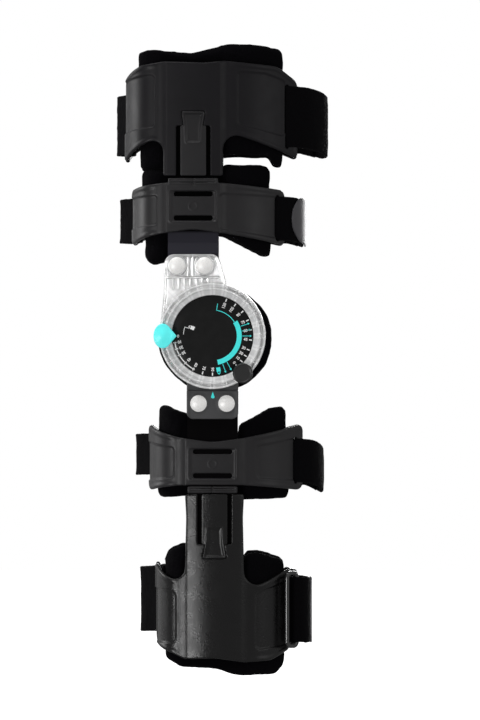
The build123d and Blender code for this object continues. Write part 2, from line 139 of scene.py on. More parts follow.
@dataclass
class Cuff:
    """One cuff of the lateral upright."""

    node: str
    way: int                  # +1 on the thigh, -1 on the calf
    mid: float                # X of the channel's middle
    tip_d: tuple              # d of the wing tips, front and back
    lean: tuple               # degrees that the tips lean, front and back
    slot_in: float            # from the back tip to the middle of the strap slot
    strap_h: tuple
    front_strap_h: tuple
    loop: tuple               # X of the straps' farthest points, front and back
    dome: float               # how much the channel's face is crowned

    def __post_init__(self):
        low, high = box_mm("lateral_" + self.node)
        self.front, self.back = low[0], high[0]
        heights = sorted((self.way * low[2], self.way * high[2]))
        self.near, self.far = heights


THIGH_CUFF = Cuff(
    "thigh_cuff", 1, THIGH_MID, tip_d=(38, 45), lean=(15, 48), slot_in=7.5,
    strap_h=(72, 105), front_strap_h=(71, 104), loop=(-70, 69), dome=0.6)
CALF_CUFF = Cuff(
    "calf_cuff", -1, CALF_MID, tip_d=(38, 42), lean=(15, 48), slot_in=7.5,
    strap_h=(77, 110), front_strap_h=(73, 104), loop=(-58, 84), dome=0.6)
THIGH_SHELL = Cuff(
    "thigh_shell", 1, THIGH_MID, tip_d=(36, 43), lean=(12, 50), slot_in=10.3,
    strap_h=(142, 188), front_strap_h=(137, 182), loop=(-72, 87), dome=1.2)
CALF_SHELL = Cuff(
    "calf_shell", -1, CALF_MID + 1.5, tip_d=(40, 45), lean=(12, 48), slot_in=4.3,
    strap_h=(181, 230), front_strap_h=(173, 222), loop=(-54.5, 71.5), dome=3.2)


# ------------------------------------------------------------------ mesh helpers

def add_object(name, data):
    """New object in the scene."""
    thing = bpy.data.objects.new(name, data)
    bpy.context.scene.collection.objects.link(thing)
    return thing


def shade(mesh, smooth=True):
    """Shade all faces smooth or flat."""
    mesh.polygons.foreach_set("use_smooth", [smooth] * len(mesh.polygons))


def make_object(name, points, faces, material, smooth=True):
    """Mesh object from points in millimetres and a list of faces."""
    mesh = bpy.data.meshes.new(name)
    mesh.from_pydata([tuple(p) for p in np.asarray(points) * MM], [], [tuple(f) for f in faces])
    mesh.update()
    shade(mesh, smooth)
    if material is not None:
        mesh.materials.append(material)
    return add_object(name, mesh)


def mirrored(thing, name):
    """Copy of an object reflected to the medial side."""
    mesh = thing.data.copy()
    mesh.transform(Matrix.Diagonal((1, -1, 1, 1)))
    mesh.flip_normals()
    return add_object(name, mesh)


def both_sides(thing, name):
    """A lateral piece and its mirrored copy, named, each with its side."""
    thing.name = "lateral_" + name
    return zip(SIDES, (thing, mirrored(thing, "medial_" + name)))


def hang(piece, body, node):
    """Hang a piece on a body, and let it stand for a CAD node."""
    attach(piece, body)
    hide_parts(node)


def place_pair(thing, name, body):
    """Mirror a lateral piece and hang both on their bodies in place of their CAD nodes."""
    for side, piece in both_sides(thing, name + "_look"):
        hang(piece, body.format(side=side), f"{side}_{name}")


def volume_mesh(name, field, axes, material, keep=1.0):
    """Closed mesh of the space where a sampled field is negative."""
    step = axes[0][1] - axes[0][0]
    grid = openvdb.FloatGrid(3 * step)
    grid.copyFromArray(np.clip(field, -3 * step, 3 * step).astype(np.float32))
    points, triangles, quads = grid.convertToPolygons(isovalue=0, adaptivity=0)
    start = np.array([axis[0] for axis in axes])
    faces = np.asarray(quads).tolist() + np.asarray(triangles).tolist()
    thing = make_object(name, points * step + start, faces, material)
    relax(thing.data, 2)
    if keep < 1:
        modifier = thing.modifiers.new("thin", "DECIMATE")
        modifier.ratio = keep
        apply_modifiers(thing)
        shade(thing.data)
    return thing


def relax(mesh, rounds):
    """Even out the meshing steps: each point moves towards its neighbours, then partly back."""
    count = len(mesh.vertices)
    points = np.empty(count * 3)
    mesh.vertices.foreach_get("co", points)
    points = points.reshape(-1, 3)
    pairs = np.empty(len(mesh.edges) * 2, int)
    mesh.edges.foreach_get("vertices", pairs)
    pairs = pairs.reshape(-1, 2)
    degree = np.bincount(pairs.ravel(), minlength=count)[:, None].clip(1)
    for share in (0.5, -0.45) * rounds:
        total = np.zeros_like(points)
        for axis in range(3):
            total[:, axis] = np.bincount(pairs[:, 0], points[pairs[:, 1], axis], count)
            total[:, axis] += np.bincount(pairs[:, 1], points[pairs[:, 0], axis], count)
        points += share * (total / degree - points)
    mesh.vertices.foreach_set("co", points.ravel())
    mesh.update()


def apply_modifiers(thing):
    """Bake an object's modifiers into its mesh."""
    shown = thing.evaluated_get(bpy.context.evaluated_depsgraph_get())
    mesh = bpy.data.meshes.new_from_object(shown)
    thing.modifiers.clear()
    thing.data = mesh


# ------------------------------------------------------------------ fields and outlines

def ramp(value, start, end):
    """Smooth step from 0 at start to 1 at end."""
    t = np.clip((value - start) / (end - start), 0, 1)
    return t * t * (3 - 2 * t)


def both(a, b, radius):
    """Overlap of two fields, with the edge between them rounded."""
    corner = np.hypot(np.maximum(a + radius, 0), np.maximum(b + radius, 0))
    return np.minimum(np.maximum(a, b), -radius) + corner


def join(a, b, radius):
    """Union of two fields with a fillet between them."""
    return -both(-a, -b, radius)


def lengths_along(path):
    """Length from a polyline's start to each of its points."""
    return np.concatenate(([0], np.cumsum(np.linalg.norm(np.diff(path, axis=0), axis=1))))


def directions(path):
    """Unit tangents of a polyline."""
    tangents = np.gradient(np.asarray(path), axis=0)
    return tangents / np.linalg.norm(tangents, axis=1)[:, None]


def rounded(corners, steps=5):
    """Polygon through corners (x, y, radius), each rounded by an arc."""
    path = []
    for i, (x, y, radius) in enumerate(corners):
        corner = np.array((x, y), float)
        before = np.array(corners[i - 1][:2], float) - corner
        after = np.array(corners[(i + 1) % len(corners)][:2], float) - corner
        before /= np.linalg.norm(before)
        after /= np.linalg.norm(after)
        half = math.acos(np.clip(before @ after, -1, 1)) / 2
        if radius <= 0 or half > 1.55:
            path.append(corner)
            continue
        reach = radius / math.tan(half)
        bisector = (before + after) / np.linalg.norm(before + after)
        centre = corner + bisector * radius / math.sin(half)
        start = math.atan2(*(corner + before * reach - centre)[::-1])
        turn = math.atan2(*(corner + after * reach - centre)[::-1]) - start
        turn = (turn + math.pi) % (2 * math.pi) - math.pi
        for k in range(steps + 1):
            angle = start + turn * k / steps
            path.append(centre + radius * np.array((math.cos(angle), math.sin(angle))))
    return np.array(path)


def inside(x, y, corners):
    """Signed distance to a rounded polygon, negative inside."""
    path = rounded(corners)
    nearest = np.full(np.broadcast(x, y).shape, 1e9)
    flips = np.ones_like(nearest)
    for (ax, ay), (bx, by) in zip(path, np.roll(path, 1, axis=0)):
        ex, ey = bx - ax, by - ay
        wx, wy = x - ax, y - ay
        t = np.clip((wx * ex + wy * ey) / (ex * ex + ey * ey + 1e-12), 0, 1)
        nearest = np.minimum(nearest, (wx - ex * t) ** 2 + (wy - ey * t) ** 2)
        above, below, left = y >= ay, y < by, ex * wy > ey * wx
        flips = np.where((above & below & left) | (~above & ~below & ~left), -flips, flips)
    return flips * np.sqrt(nearest)


def oblong(x, y, centre, half, radius):
    """Signed distance to a rounded rectangle."""
    dx = np.abs(x - centre[0]) - half[0] + radius
    dy = np.abs(y - centre[1]) - half[1] + radius
    return np.hypot(np.maximum(dx, 0), np.maximum(dy, 0)) + np.minimum(np.maximum(dx, dy), 0) - radius


def hermite(start, leave, end, arrive, count):
    """Cubic curve from start to end with the given speeds at both ends."""
    t = np.linspace(0, 1, count)[:, None]
    return ((2 * t**3 - 3 * t**2 + 1) * start + (t**3 - 2 * t**2 + t) * leave
            + (3 * t**2 - 2 * t**3) * end + (t**3 - t**2) * arrive)


def wing_line(cuff, side):
    """Points along a wing's skin in (x, y), from its root beside the channel to its tip."""
    k = 0 if side < 0 else 1
    lean = math.radians(cuff.lean[k])
    root = np.array((cuff.mid + side * STEM_HALF, -SKIN_D))
    tip = np.array((cuff.front if side < 0 else cuff.back, -cuff.tip_d[k]))
    chord = np.linalg.norm(tip - root)
    leave = np.array((side, 0.0)) * chord * ROOT_PULL[k]
    arrive = np.array((side * math.sin(lean), math.cos(lean))) * chord * TIP_PULL[k]
    return hermite(root, leave, tip, arrive, 240)


def skin_line(cuff):
    """The cuff's skin from beyond its front tip to beyond its back tip: points, s, tangents."""
    front, back = wing_line(cuff, -1)[::-1], wing_line(cuff, 1)
    steps = np.arange(1, 60)[:, None] * 0.5
    before = front[0] + (front[0] - front[1]) / np.linalg.norm(front[0] - front[1]) * steps[::-1]
    after = back[-1] + (back[-1] - back[-2]) / np.linalg.norm(back[-1] - back[-2]) * steps
    middle = np.linspace(front[-1], back[0], 120)[1:-1]
    points = np.vstack((before, front, middle, back, after))
    lengths = lengths_along(points)
    lengths -= np.interp(cuff.mid, points[:, 0], lengths)
    return points, lengths, directions(points)


def unroll(cuff, x, y):
    """(s, n) of points in the XY plane: where they are along the skin, and how far outside it."""
    points, lengths, tangents = skin_line(cuff)
    flat = np.stack((np.ravel(x), np.ravel(y)), axis=1)
    s, n = np.empty(len(flat)), np.empty(len(flat))
    for start in range(0, len(flat), 20000):
        part = flat[start:start + 20000]
        gap = ((part[:, None, :] - points[None]) ** 2).sum(2)
        i = gap.argmin(1)
        away = part - points[i]
        s[start:start + 20000] = lengths[i] + (away * tangents[i]).sum(1)
        n[start:start + 20000] = away[:, 0] * tangents[i, 1] - away[:, 1] * tangents[i, 0]
    return s.reshape(np.shape(x)), n.reshape(np.shape(x))


def s_at(cuff, x):
    """s of the skin point with the given X."""
    points, lengths, _ = skin_line(cuff)
    return float(np.interp(x, points[:, 0], lengths))


def on_skin(cuff, corners):
    """Corners given in (X, h) turned into corners in (s, h)."""
    return [(s_at(cuff, x), h, radius) for x, h, radius in corners]


def sheet_field(cuff, shape, axes, edge_radius):
    """Field of a curved sheet. shape(s, h) gives its outline, its cuts, and its outer and inner offset."""
    x, y = np.meshgrid(axes[0], axes[1], indexing="ij")
    s, n = unroll(cuff, x, y)
    s_axis = np.arange(-S_REACH, S_REACH, S_STEP)
    tables = shape(*np.meshgrid(s_axis, cuff.way * axes[2], indexing="ij"))
    place = np.clip((s - s_axis[0]) / S_STEP, 0, len(s_axis) - 2.001)
    i = place.astype(int)
    share = (place - i)[..., None]
    outline, cuts, outer, inner = [(1 - share) * t[i] + share * t[i + 1] for t in tables]
    n = n[..., None]
    sheet = both(np.maximum(n - outer, inner - n), outline, edge_radius)
    return both(sheet, -cuts, 0.35)


def sample_axes(low, high, step, margin=3):
    """Sample positions along X, Y and Z, a few steps past both corners."""
    return [np.arange(lo - margin * step, hi + margin * step, step) for lo, hi in zip(low, high)]


def box_field(axes, low, high, radius=0.0):
    """Signed distance to a rounded box."""
    grid = np.meshgrid(*axes, indexing="ij", sparse=True)
    gaps = [np.abs(g - (lo + hi) / 2) - (hi - lo) / 2 + radius for g, lo, hi in zip(grid, low, high)]
    outside = np.sqrt(sum(np.maximum(g, 0) ** 2 for g in gaps))
    return outside + np.minimum(np.maximum(np.maximum(gaps[0], gaps[1]), gaps[2]), 0) - radius


# ------------------------------------------------------------------ materials

class Finish:
    """A Principled material that procedural detail is added to."""

    def __init__(self, name, **values):
        self.material = bpy.data.materials.new(name)
        self.material.use_nodes = True
        self.tree = self.material.node_tree
        self.shader = self.tree.nodes["Principled BSDF"]
        self.place = self.node("ShaderNodeTexCoord").outputs["Object"]
        self.height = None
        self.set(**values)

    def node(self, kind, **values):
        """New node with some of its settings."""
        made = self.tree.nodes.new(kind)
        for name, value in values.items():
            setattr(made, name, value)
        return made

    def link(self, source, target):
        """Wire an output to an input."""
        self.tree.links.new(source, target)

    def set(self, **values):
        """Set inputs of the shader; an underscore stands for a space."""
        for name, value in values.items():
            self.shader.inputs[name.replace("_", " ")].default_value = value

    def noise(self, size_mm, detail=3.0, rough=0.55, stretch=(1, 1, 1)):
        """Noise whose blobs are about size_mm across, stretched along the axes."""
        mapping = self.node("ShaderNodeMapping")
        mapping.inputs["Scale"].default_value = stretch
        self.link(self.place, mapping.inputs["Vector"])
        noise = self.node("ShaderNodeTexNoise")
        noise.inputs["Scale"].default_value = 1 / (size_mm * MM)
        noise.inputs["Detail"].default_value = detail
        noise.inputs["Roughness"].default_value = rough
        self.link(mapping.outputs["Vector"], noise.inputs["Vector"])
        return noise.outputs["Fac"]

    def math(self, operation, first, second=0.0):
        """Sum, product or another function of two values."""
        node = self.node("ShaderNodeMath", operation=operation)
        for i, value in enumerate((first, second)):
            if isinstance(value, (int, float)):
                node.inputs[i].default_value = value
            else:
                self.link(value, node.inputs[i])
        return node.outputs["Value"]

    def axis(self, name):
        """One coordinate, in metres."""
        split = self.node("ShaderNodeSeparateXYZ")
        self.link(self.place, split.inputs[0])
        return split.outputs[name]

    def radius(self):
        """Distance from the knee axis, in metres."""
        squares = [self.math("POWER", self.axis(name), 2.0) for name in "XZ"]
        return self.math("SQRT", self.math("ADD", *squares))

    def radial_lines(self):
        """Distance, in shares of a pitch, from paired lines that run out from the knee axis."""
        angle = self.math("ARCTAN2", self.axis("Z"), self.axis("X"))
        turns = self.math("FRACT", self.math("ADD", self.math("MULTIPLY", angle, RIBS / math.tau), 0.5))
        off_pair = self.math("ABSOLUTE", self.math("SUBTRACT", turns, 0.5))
        return self.math("ABSOLUTE", self.math("SUBTRACT", off_pair, RIB_OFF * RIBS / 360))

    def cells(self, size_mm):
        """Distance to scattered points about size_mm apart."""
        cells = self.node("ShaderNodeTexVoronoi")
        cells.inputs["Scale"].default_value = 1 / (size_mm * MM)
        self.link(self.place, cells.inputs["Vector"])
        return cells.outputs["Distance"]

    def spread(self, value, low, high, start=0.3, end=0.7):
        """Map a texture value from start..end to low..high."""
        span = self.node("ShaderNodeMapRange")
        for name, number in (("From Min", start), ("From Max", end), ("To Min", low), ("To Max", high)):
            span.inputs[name].default_value = number
        self.link(value, span.inputs["Value"])
        return span.outputs["Result"]

    def colour(self, value, first, second, start=0.3, end=0.7):
        """Blend the base colour between two greys or colours by a texture."""
        mix = self.node("ShaderNodeMix", data_type="RGBA")
        mix.inputs["A"].default_value = (*first, 1)
        mix.inputs["B"].default_value = (*second, 1)
        self.link(self.spread(value, 0, 1, start, end), mix.inputs["Factor"])
        self.link(mix.outputs["Result"], self.shader.inputs["Base Color"])
        return mix

    def roughness(self, value, low, high, start=0.3, end=0.7):
        """Vary the roughness from low to high by a texture."""
        self.link(self.spread(value, low, high, start, end), self.shader.inputs["Roughness"])

    def bump(self, value, depth_mm):
        """Add relief of about depth_mm."""
        bump = self.node("ShaderNodeBump")
        bump.inputs["Strength"].default_value = 1.0
        bump.inputs["Distance"].default_value = depth_mm * MM
        self.link(value, bump.inputs["Height"])
        if self.height is not None:
            self.link(self.height, bump.inputs["Normal"])
        self.height = bump.outputs["Normal"]
        self.link(self.height, self.shader.inputs["Normal"])
        return self


def grey(level):
    """Neutral colour."""
    return (level, level, level)


def shell_finish(name, base, grain_mm, grain_depth, rough, shine=0.4):
    """Moulded nylon: spark-eroded grain, faint flow marks, scuffs and dust."""
    finish = Finish(name, Specular_IOR_Level=shine)
    flow = finish.noise(26, 4, 0.6, (1, 1, 0.5))
    finish.colour(flow, [c * 0.86 for c in base], [c * 1.16 for c in base])
    finish.roughness(finish.noise(9, 5, 0.65), rough - 0.05, rough + 0.07)
    finish.bump(finish.noise(grain_mm, 2, 0.6), grain_depth)
    finish.bump(finish.noise(4.5, 2, 0.5), 0.012)
    return finish.material


def rubbed_metal(name, base, metallic, rough, along=(1, 1, 0.06), shine=0.5):
    """Metal or lacquer with fine lines along the piece."""
    finish = Finish(name, Metallic=metallic, Specular_IOR_Level=shine)
    lines = finish.noise(0.5, 3, 0.6, along)
    finish.colour(lines, [c * 0.85 for c in base], [c * 1.15 for c in base])
    finish.roughness(finish.noise(7, 4), rough - 0.05, rough + 0.08)
    finish.bump(lines, 0.012)
    return finish.material


def bar_coat_painted_shade():
    """Dark lacquer with painted shade: near-black and dull where the cuffs and shells lie over it."""
    finish = Finish("bar lacquer", Metallic=0.3, Roughness=0.4)
    height = finish.axis("Z")
    # Painted shade: above the cuffs' edge the colour turns near-black and the gloss drops, for the shade
    # under the cuffs and shells.
    finish.colour(height, (0.0120, 0.0112, 0.0190), grey(0.0008), 0.077, 0.079)
    shine = finish.spread(height, 0.35, 0.02, 0.077, 0.079)
    finish.link(shine, finish.shader.inputs["Specular IOR Level"])
    finish.bump(finish.noise(0.5, 3, 0.6, (1, 1, 0.06)), 0.012)
    return finish.material


def fabric(name, base, size_mm, sheen, depth):
    """Brushed nylon: matted loops over a felted ground, with a soft sheen."""
    finish = Finish(name, Roughness=0.95, Specular_IOR_Level=0.02)
    finish.set(Sheen_Weight=sheen, Sheen_Roughness=0.5)
    tufts = finish.noise(size_mm, 5, 0.75)
    finish.colour(tufts, [c * 0.5 for c in base], [c * 1.7 for c in base])
    finish.bump(tufts, depth)
    finish.bump(finish.cells(size_mm * 0.7), depth * 0.6)
    return finish.material


def clear_plastic(name, clearness):
    """Clear styrene with moulding ripples and fine scratches; clearness is for the ring and the neck. The
    paired ribs are painted whiter, as painted highlights.
    """
    finish = Finish(name, Roughness=0.08, IOR=1.3)
    finish.set(Coat_Weight=0.2, Coat_Roughness=0.05)
    frost = finish.spread(finish.radius(), *clearness, RING_R * MM, (RING_R + 3) * MM)
    finish.link(frost, finish.shader.inputs["Transmission Weight"])
    # Painted highlight: along the paired ribs the colour is lighter, for the glints the clear ribs catch.
    finish.colour(finish.radial_lines(), grey(0.99), grey(0.84), 0.06, 0.14)
    finish.roughness(finish.noise(5, 5, 0.7), 0.04, 0.12)
    finish.bump(finish.noise(6, 2), 0.015)
    return finish.material


def dial_black():
    """Printed black sheet with a faint orange-peel gloss."""
    finish = Finish("dial black", Specular_IOR_Level=0.2, Coat_Weight=0.06, Coat_Roughness=0.12)
    finish.colour(finish.noise(7, 3), grey(0.003), grey(0.006))
    finish.roughness(finish.noise(3, 4), 0.28, 0.4)
    finish.bump(finish.noise(1.2, 2), 0.01)
    rolled = finish.math("POWER", finish.spread(finish.radius(), 0, 1, 0.022, DIAL_R * MM), 2.0)
    finish.bump(finish.math("MULTIPLY", rolled, -1.0), 1.3)
    return finish.material


def ink(name, colour):
    """Screen-printed ink, a little uneven."""
    finish = Finish(name)
    finish.colour(finish.noise(1.5, 3), [c * 0.92 for c in colour], colour)
    finish.roughness(finish.noise(2, 3), 0.4, 0.5)
    finish.bump(finish.noise(0.4, 2), 0.01)
    return finish.material


def moulded(name, base, rough, coat, painted_glow=0.0):
    """Small smooth moulding with hardly any grain; its glow is painted light, an emission that makes it
    brighter than the lamps do.
    """
    finish = Finish(name, Coat_Weight=coat, Coat_Roughness=0.15)
    # Painted light: emission in the base colour brightens the piece beyond its lighting.
    finish.set(Emission_Color=(*base, 1), Emission_Strength=painted_glow)
    finish.colour(finish.noise(6, 3), [c * 0.93 for c in base], base)
    finish.roughness(finish.noise(3, 4, 0.6), rough - 0.04, rough + 0.05)
    finish.bump(finish.noise(0.5, 2), 0.012)
    return finish.material


SHELL_BLACK = shell_finish("shell nylon", (0.0042, 0.0036, 0.0050), 0.35, 0.03, 0.42, 0.22)
CUFF_BLACK = shell_finish("cuff nylon", (0.0104, 0.0096, 0.0108), 0.35, 0.03, 0.42, 0.34)
CALF_BLACK = shell_finish("calf nylon", (0.0030, 0.0028, 0.0030), 1.2, 0.16, 0.28, 0.32)
ARM_GREY = shell_finish("arm nylon", (0.052, 0.052, 0.054), 0.9, 0.14, 0.44)
BAR_COAT_PAINTED_SHADE = bar_coat_painted_shade()
# Painted shade: the lower bar gets a near-black, almost glossless copy of the bar lacquer, for the shade
# it lies in below the arm.
CALF_BAR_PAINTED_SHADE = rubbed_metal("calf bar painted shade", (0.0016, 0.0012, 0.0015), 0.0, 0.5, shine=0.03)
STEEL = rubbed_metal("rivet steel", (0.99, 0.98, 0.96), 0.12, 0.38, (1, 1, 1))
CLEAR = clear_plastic("clear cover", (0.2, 0.5))
CLEAR_BACK = clear_plastic("clear backplate", (0.9, 0.97))
DIAL_BLACK = dial_black()
WHITE_INK = ink("white ink", grey(0.98))
TEAL_INK = ink("teal ink", (0.06, 0.97, 0.94))
STOP_BLACK = moulded("stop black", grey(0.008), 0.4, 0.05)
# Painted light: the teal stop glows a little, brighter than the lamps make it.
STOP_TEAL = moulded("stop teal", (0.12, 1.0, 0.99), 0.4, 0.2, 0.12)
RING_BLACK = moulded("ring black", grey(0.012), 0.2, 0.6)
HOOK_GREY = moulded("hook tape", (0.048, 0.046, 0.052), 0.5, 0.0)
PAD_BLACK = fabric("pad fleece", (0.0019, 0.0017, 0.0023), 0.9, 0.012, 0.25)
STRAP_BLACK = fabric("loop webbing", (0.0022, 0.0020, 0.0025), 0.6, 0.012, 0.16)

# ------------------------------------------------------------------ cuffs


def crown(cuff, s):
    """How far the face stands out from the skin: a raised, crowned channel."""
    slope = np.clip((np.abs(s) - CHANNEL_FLAT) / RAMP, 0, 1)
    eased = 1 - (1 - slope) ** 2
    arch = cuff.dome * (1 - np.clip(s / CHANNEL_FLAT, -1, 1) ** 2) - cuff.dome * 0.4
    return (RAISE + arch) * (1 - eased)


def inner_skin(s):
    """How deep the sheet's inner face lies: the channel's back is thicker."""
    return -WALL - (CHANNEL_INSIDE - WALL) * (1 - ramp(np.abs(s), STEM_HALF, STEM_HALF + 3))


def bar_cavity(cuff, axes):
    """The hollow that the bar slides in."""
    mid = THIGH_MID if cuff.way > 0 else CALF_MID
    half = BAR_WIDTH / 2 + BAR_PLAY
    low = (mid - half, -BAR_LAYER[1] - BAR_PLAY, axes[2][0] - 50)
    high = (mid + half, -BAR_LAYER[0] + BAR_PLAY, axes[2][-1] + 50)
    return box_field(axes, low, high)


def cuff_axes(cuff):
    """Sample positions over a whole cuff."""
    z_low, z_high = sorted((cuff.way * cuff.near, cuff.way * cuff.far))
    low = (cuff.front - 3, -CHANNEL_FACE_D - 2.5, z_low - 2)
    high = (cuff.back + 3, -min(cuff.tip_d) + 3, z_high + 2)
    return sample_axes(low, high, VOXEL)


def slot_cut(cuff, s, h):
    """Slot for the back strap, rounded at its ends."""
    middle = s_at(cuff, cuff.back) - cuff.slot_in
    low, high = cuff.strap_h
    return oblong(s, h, (middle, (low + high) / 2), (SLOT_HALF, (high - low) / 2 + 0.7), 1.4)


def rim_lift(outline, s):
    """A soft rolled rim along the wings' edges."""
    on_wing = ramp(np.abs(s), STEM_HALF + 4, STEM_HALF + 10)
    return RIM_HIGH * on_wing * ramp(outline, -RIM_WIDE, -RIM_WIDE + 1.6)


def window_relief(s, h):
    """Sunk window with a raised frame and a ring mark in its middle."""
    window = oblong(s, h, (0, 0), (17.2, 11.5), 2.0)
    frame_line = np.abs(oblong(s, h, (0, 0), (18.1, 12.4), 2.4)) - 0.6
    mark = np.abs(np.hypot(s, h) - 3.1) - 0.35
    return 0.35 * ramp(-frame_line, -0.3, 0.5) + 0.3 * ramp(-mark, -0.3, 0.3) - 0.9 * ramp(-window, 0, 0.5)


def strip_relief(strip, s, h):
    """Raised strip at the far edge, with two grooves along it and a notch across them."""
    relief = 0.5 * ramp(-strip, -0.3, 0.5)
    for offset in (-0.9, 1.1):
        groove = oblong(s, h, (0, offset), (17, 0.35), 0.3)
        relief = relief - 0.8 * ramp(-groove, -0.3, 0.35)
    notch = oblong(s, h, (0, 0), (0.9, 3.2), 0.3)
    return relief - 0.9 * ramp(-notch, -0.2, 0.5)


def small_cuff_shape(cuff, near, far, panels, bracket_h):
    """Outline and faces of a small cuff; near and far are heights at the channel and the tips."""
    side = STEM_HALF
    left, right = cuff.mid - side, cuff.mid + side
    corners = on_skin(cuff, [
        (cuff.front, near[1], 4), (left, near[0] - 3, 30), (cuff.mid, near[0], 40),
        (right, near[0] - 3, 30), (cuff.back, near[1], 4), (cuff.back, far[1], 6),
        (right, far[0], 20), (left, far[0], 20), (cuff.front, far[1], 6)])
    window_h = (near[0] + far[0]) / 2
    cross_slots = (window_h - 9, window_h + 9)

    def shape(s, h):
        outline = inside(s, h, corners)
        outer = crown(cuff, s) + rim_lift(outline, s) - sunk_panels(cuff, panels, s, h)
        strip = oblong(s, h, (0, bracket_h), (18.8, 2.7), 1.2)
        outline = join(outline, strip, 0.4)
        outer = outer + window_relief(s, h - window_h) + strip_relief(strip, s, h - bracket_h)
        cuts = slot_cut(cuff, s, h)
        for slot_h in cross_slots:
            cuts = np.minimum(cuts, oblong(s, h, (0, slot_h), (14.5, 1.7), 1.2))
        return outline, cuts, outer, inner_skin(s)

    return shape


def small_cuff(cuff, near, far, panels, bracket_h, body):
    """A small cuff: waisted band over the bar with recessed wings and a slotted window."""
    axes = cuff_axes(cuff)
    field = sheet_field(cuff, small_cuff_shape(cuff, near, far, panels, bracket_h), axes, EDGE_R)
    field = np.maximum(field, -bar_cavity(cuff, axes))
    thing = volume_mesh(cuff.node, field, axes, CUFF_BLACK, 0.4)
    place_pair(thing, cuff.node, body)


THUMB = ((6.3, 24.0), (9.1, 48.5))   # half width and distance from the stem's mouth


def thumb_grip(mouth, s, h, grow=0.0):
    """Field of the flared thumb grip, made bigger by grow."""
    (narrow, low), (wide, high) = THUMB
    right = [(narrow + grow, low, 2), (narrow + 0.7 + grow, (low + high) / 2, 20),
             (wide + grow, high + grow, 1.6)]
    left = [(-half, height, radius) for half, height, radius in right[::-1]]
    return inside(s, h - mouth, right + left)


def tongue_outline(mouth, s, h, grow=0.0):
    """The release tongue: a straight tab that ends in the flared thumb grip."""
    straight = oblong(s, h, (0, mouth + 19), (TONGUE_HALF + grow, 18.8), 1.0)
    return np.minimum(straight, thumb_grip(mouth, s, h, grow))


def tongue_relief(cuff, mouth, s, h):
    """Face of the tongue: the channel's crown with the thumb grip scooped out of it."""
    grip = thumb_grip(mouth, s, h)
    rim = 0.45 * ramp(-np.abs(grip + 0.7), -1.0, -0.1)
    (_, low), (_, high) = THUMB
    along = np.clip((h - mouth - low) / (high - low), 0, 1)
    scoop = (0.5 + 1.1 * along) * ramp(-grip, 1.0, 3.2)
    return crown(cuff, s) + rim - scoop


def sunk_panels(cuff, panels, s, h):
    """How far the panels in the wings lie below the face."""
    sunk = 0
    for panel in panels:
        area = inside(s, h, on_skin(cuff, panel))
        sunk = sunk + PANEL_DEEP * ramp(-area, 0, PANEL_EDGE)
    return sunk


def long_shell_shape(cuff, corners, mouth, panels):
    """Outline and faces of a long shell; mouth is the open end of its stem."""
    corners = on_skin(cuff, corners)

    def shape(s, h):
        outline = inside(s, h, corners)
        outer = crown(cuff, s) + rim_lift(outline, s) - sunk_panels(cuff, panels, s, h)
        slits = oblong(s, h, (0, mouth + 14), (TONGUE_HALF + SLIT, 23.7), 1.2)
        gap = np.minimum(slits, tongue_outline(mouth, s, h, 0.12))
        return outline, np.minimum(gap, slot_cut(cuff, s, h)), outer, inner_skin(s)

    return shape


def long_shell(cuff, corners, mouth, panels, material, body):
    """A long shell: a stem with a window for the release tongue, and two wings."""
    axes = cuff_axes(cuff)
    shape = long_shell_shape(cuff, corners, mouth, panels)
    field = sheet_field(cuff, shape, axes, EDGE_R)

    def back(s, h):
        return inside(s, h, on_skin(cuff, corners)), UNCUT + 0 * s, -WALL + 0 * s, inner_skin(s)

    field = np.minimum(field, np.maximum(sheet_field(cuff, back, axes, 0.6), stem_only(cuff, axes)))
    field = np.maximum(field, -bar_cavity(cuff, axes))
    thing = volume_mesh(cuff.node, field, axes, material, 0.4)
    place_pair(thing, cuff.node, body)


def stem_only(cuff, axes):
    """Negative within the channel's width."""
    return (np.abs(axes[0] - cuff.mid) - STEM_HALF)[:, None, None]


def tongue(cuff, mouth, material, name):
    """The release tongue, rooted at the stem's mouth."""
    heights = sorted((cuff.way * (mouth - 3), cuff.way * (mouth + 52)))
    low = (cuff.mid - 15, -CHANNEL_FACE_D - 2.5, heights[0])
    high = (cuff.mid + 15, -BAR_LAYER[1] + 1, heights[1])
    axes = sample_axes(low, high, 0.45)

    def shape(s, h):
        inner = BAR_LAYER[1] + BAR_PLAY - SKIN_D + 0 * s
        return tongue_outline(mouth, s, h), UNCUT + 0 * s, tongue_relief(cuff, mouth, s, h), inner

    field = sheet_field(cuff, shape, axes, 0.5)
    thing = volume_mesh(name, field, axes, material, 0.5)
    for side, piece in both_sides(thing, name + "_look"):
        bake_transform(piece)
        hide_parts(f"{side}_{name}")


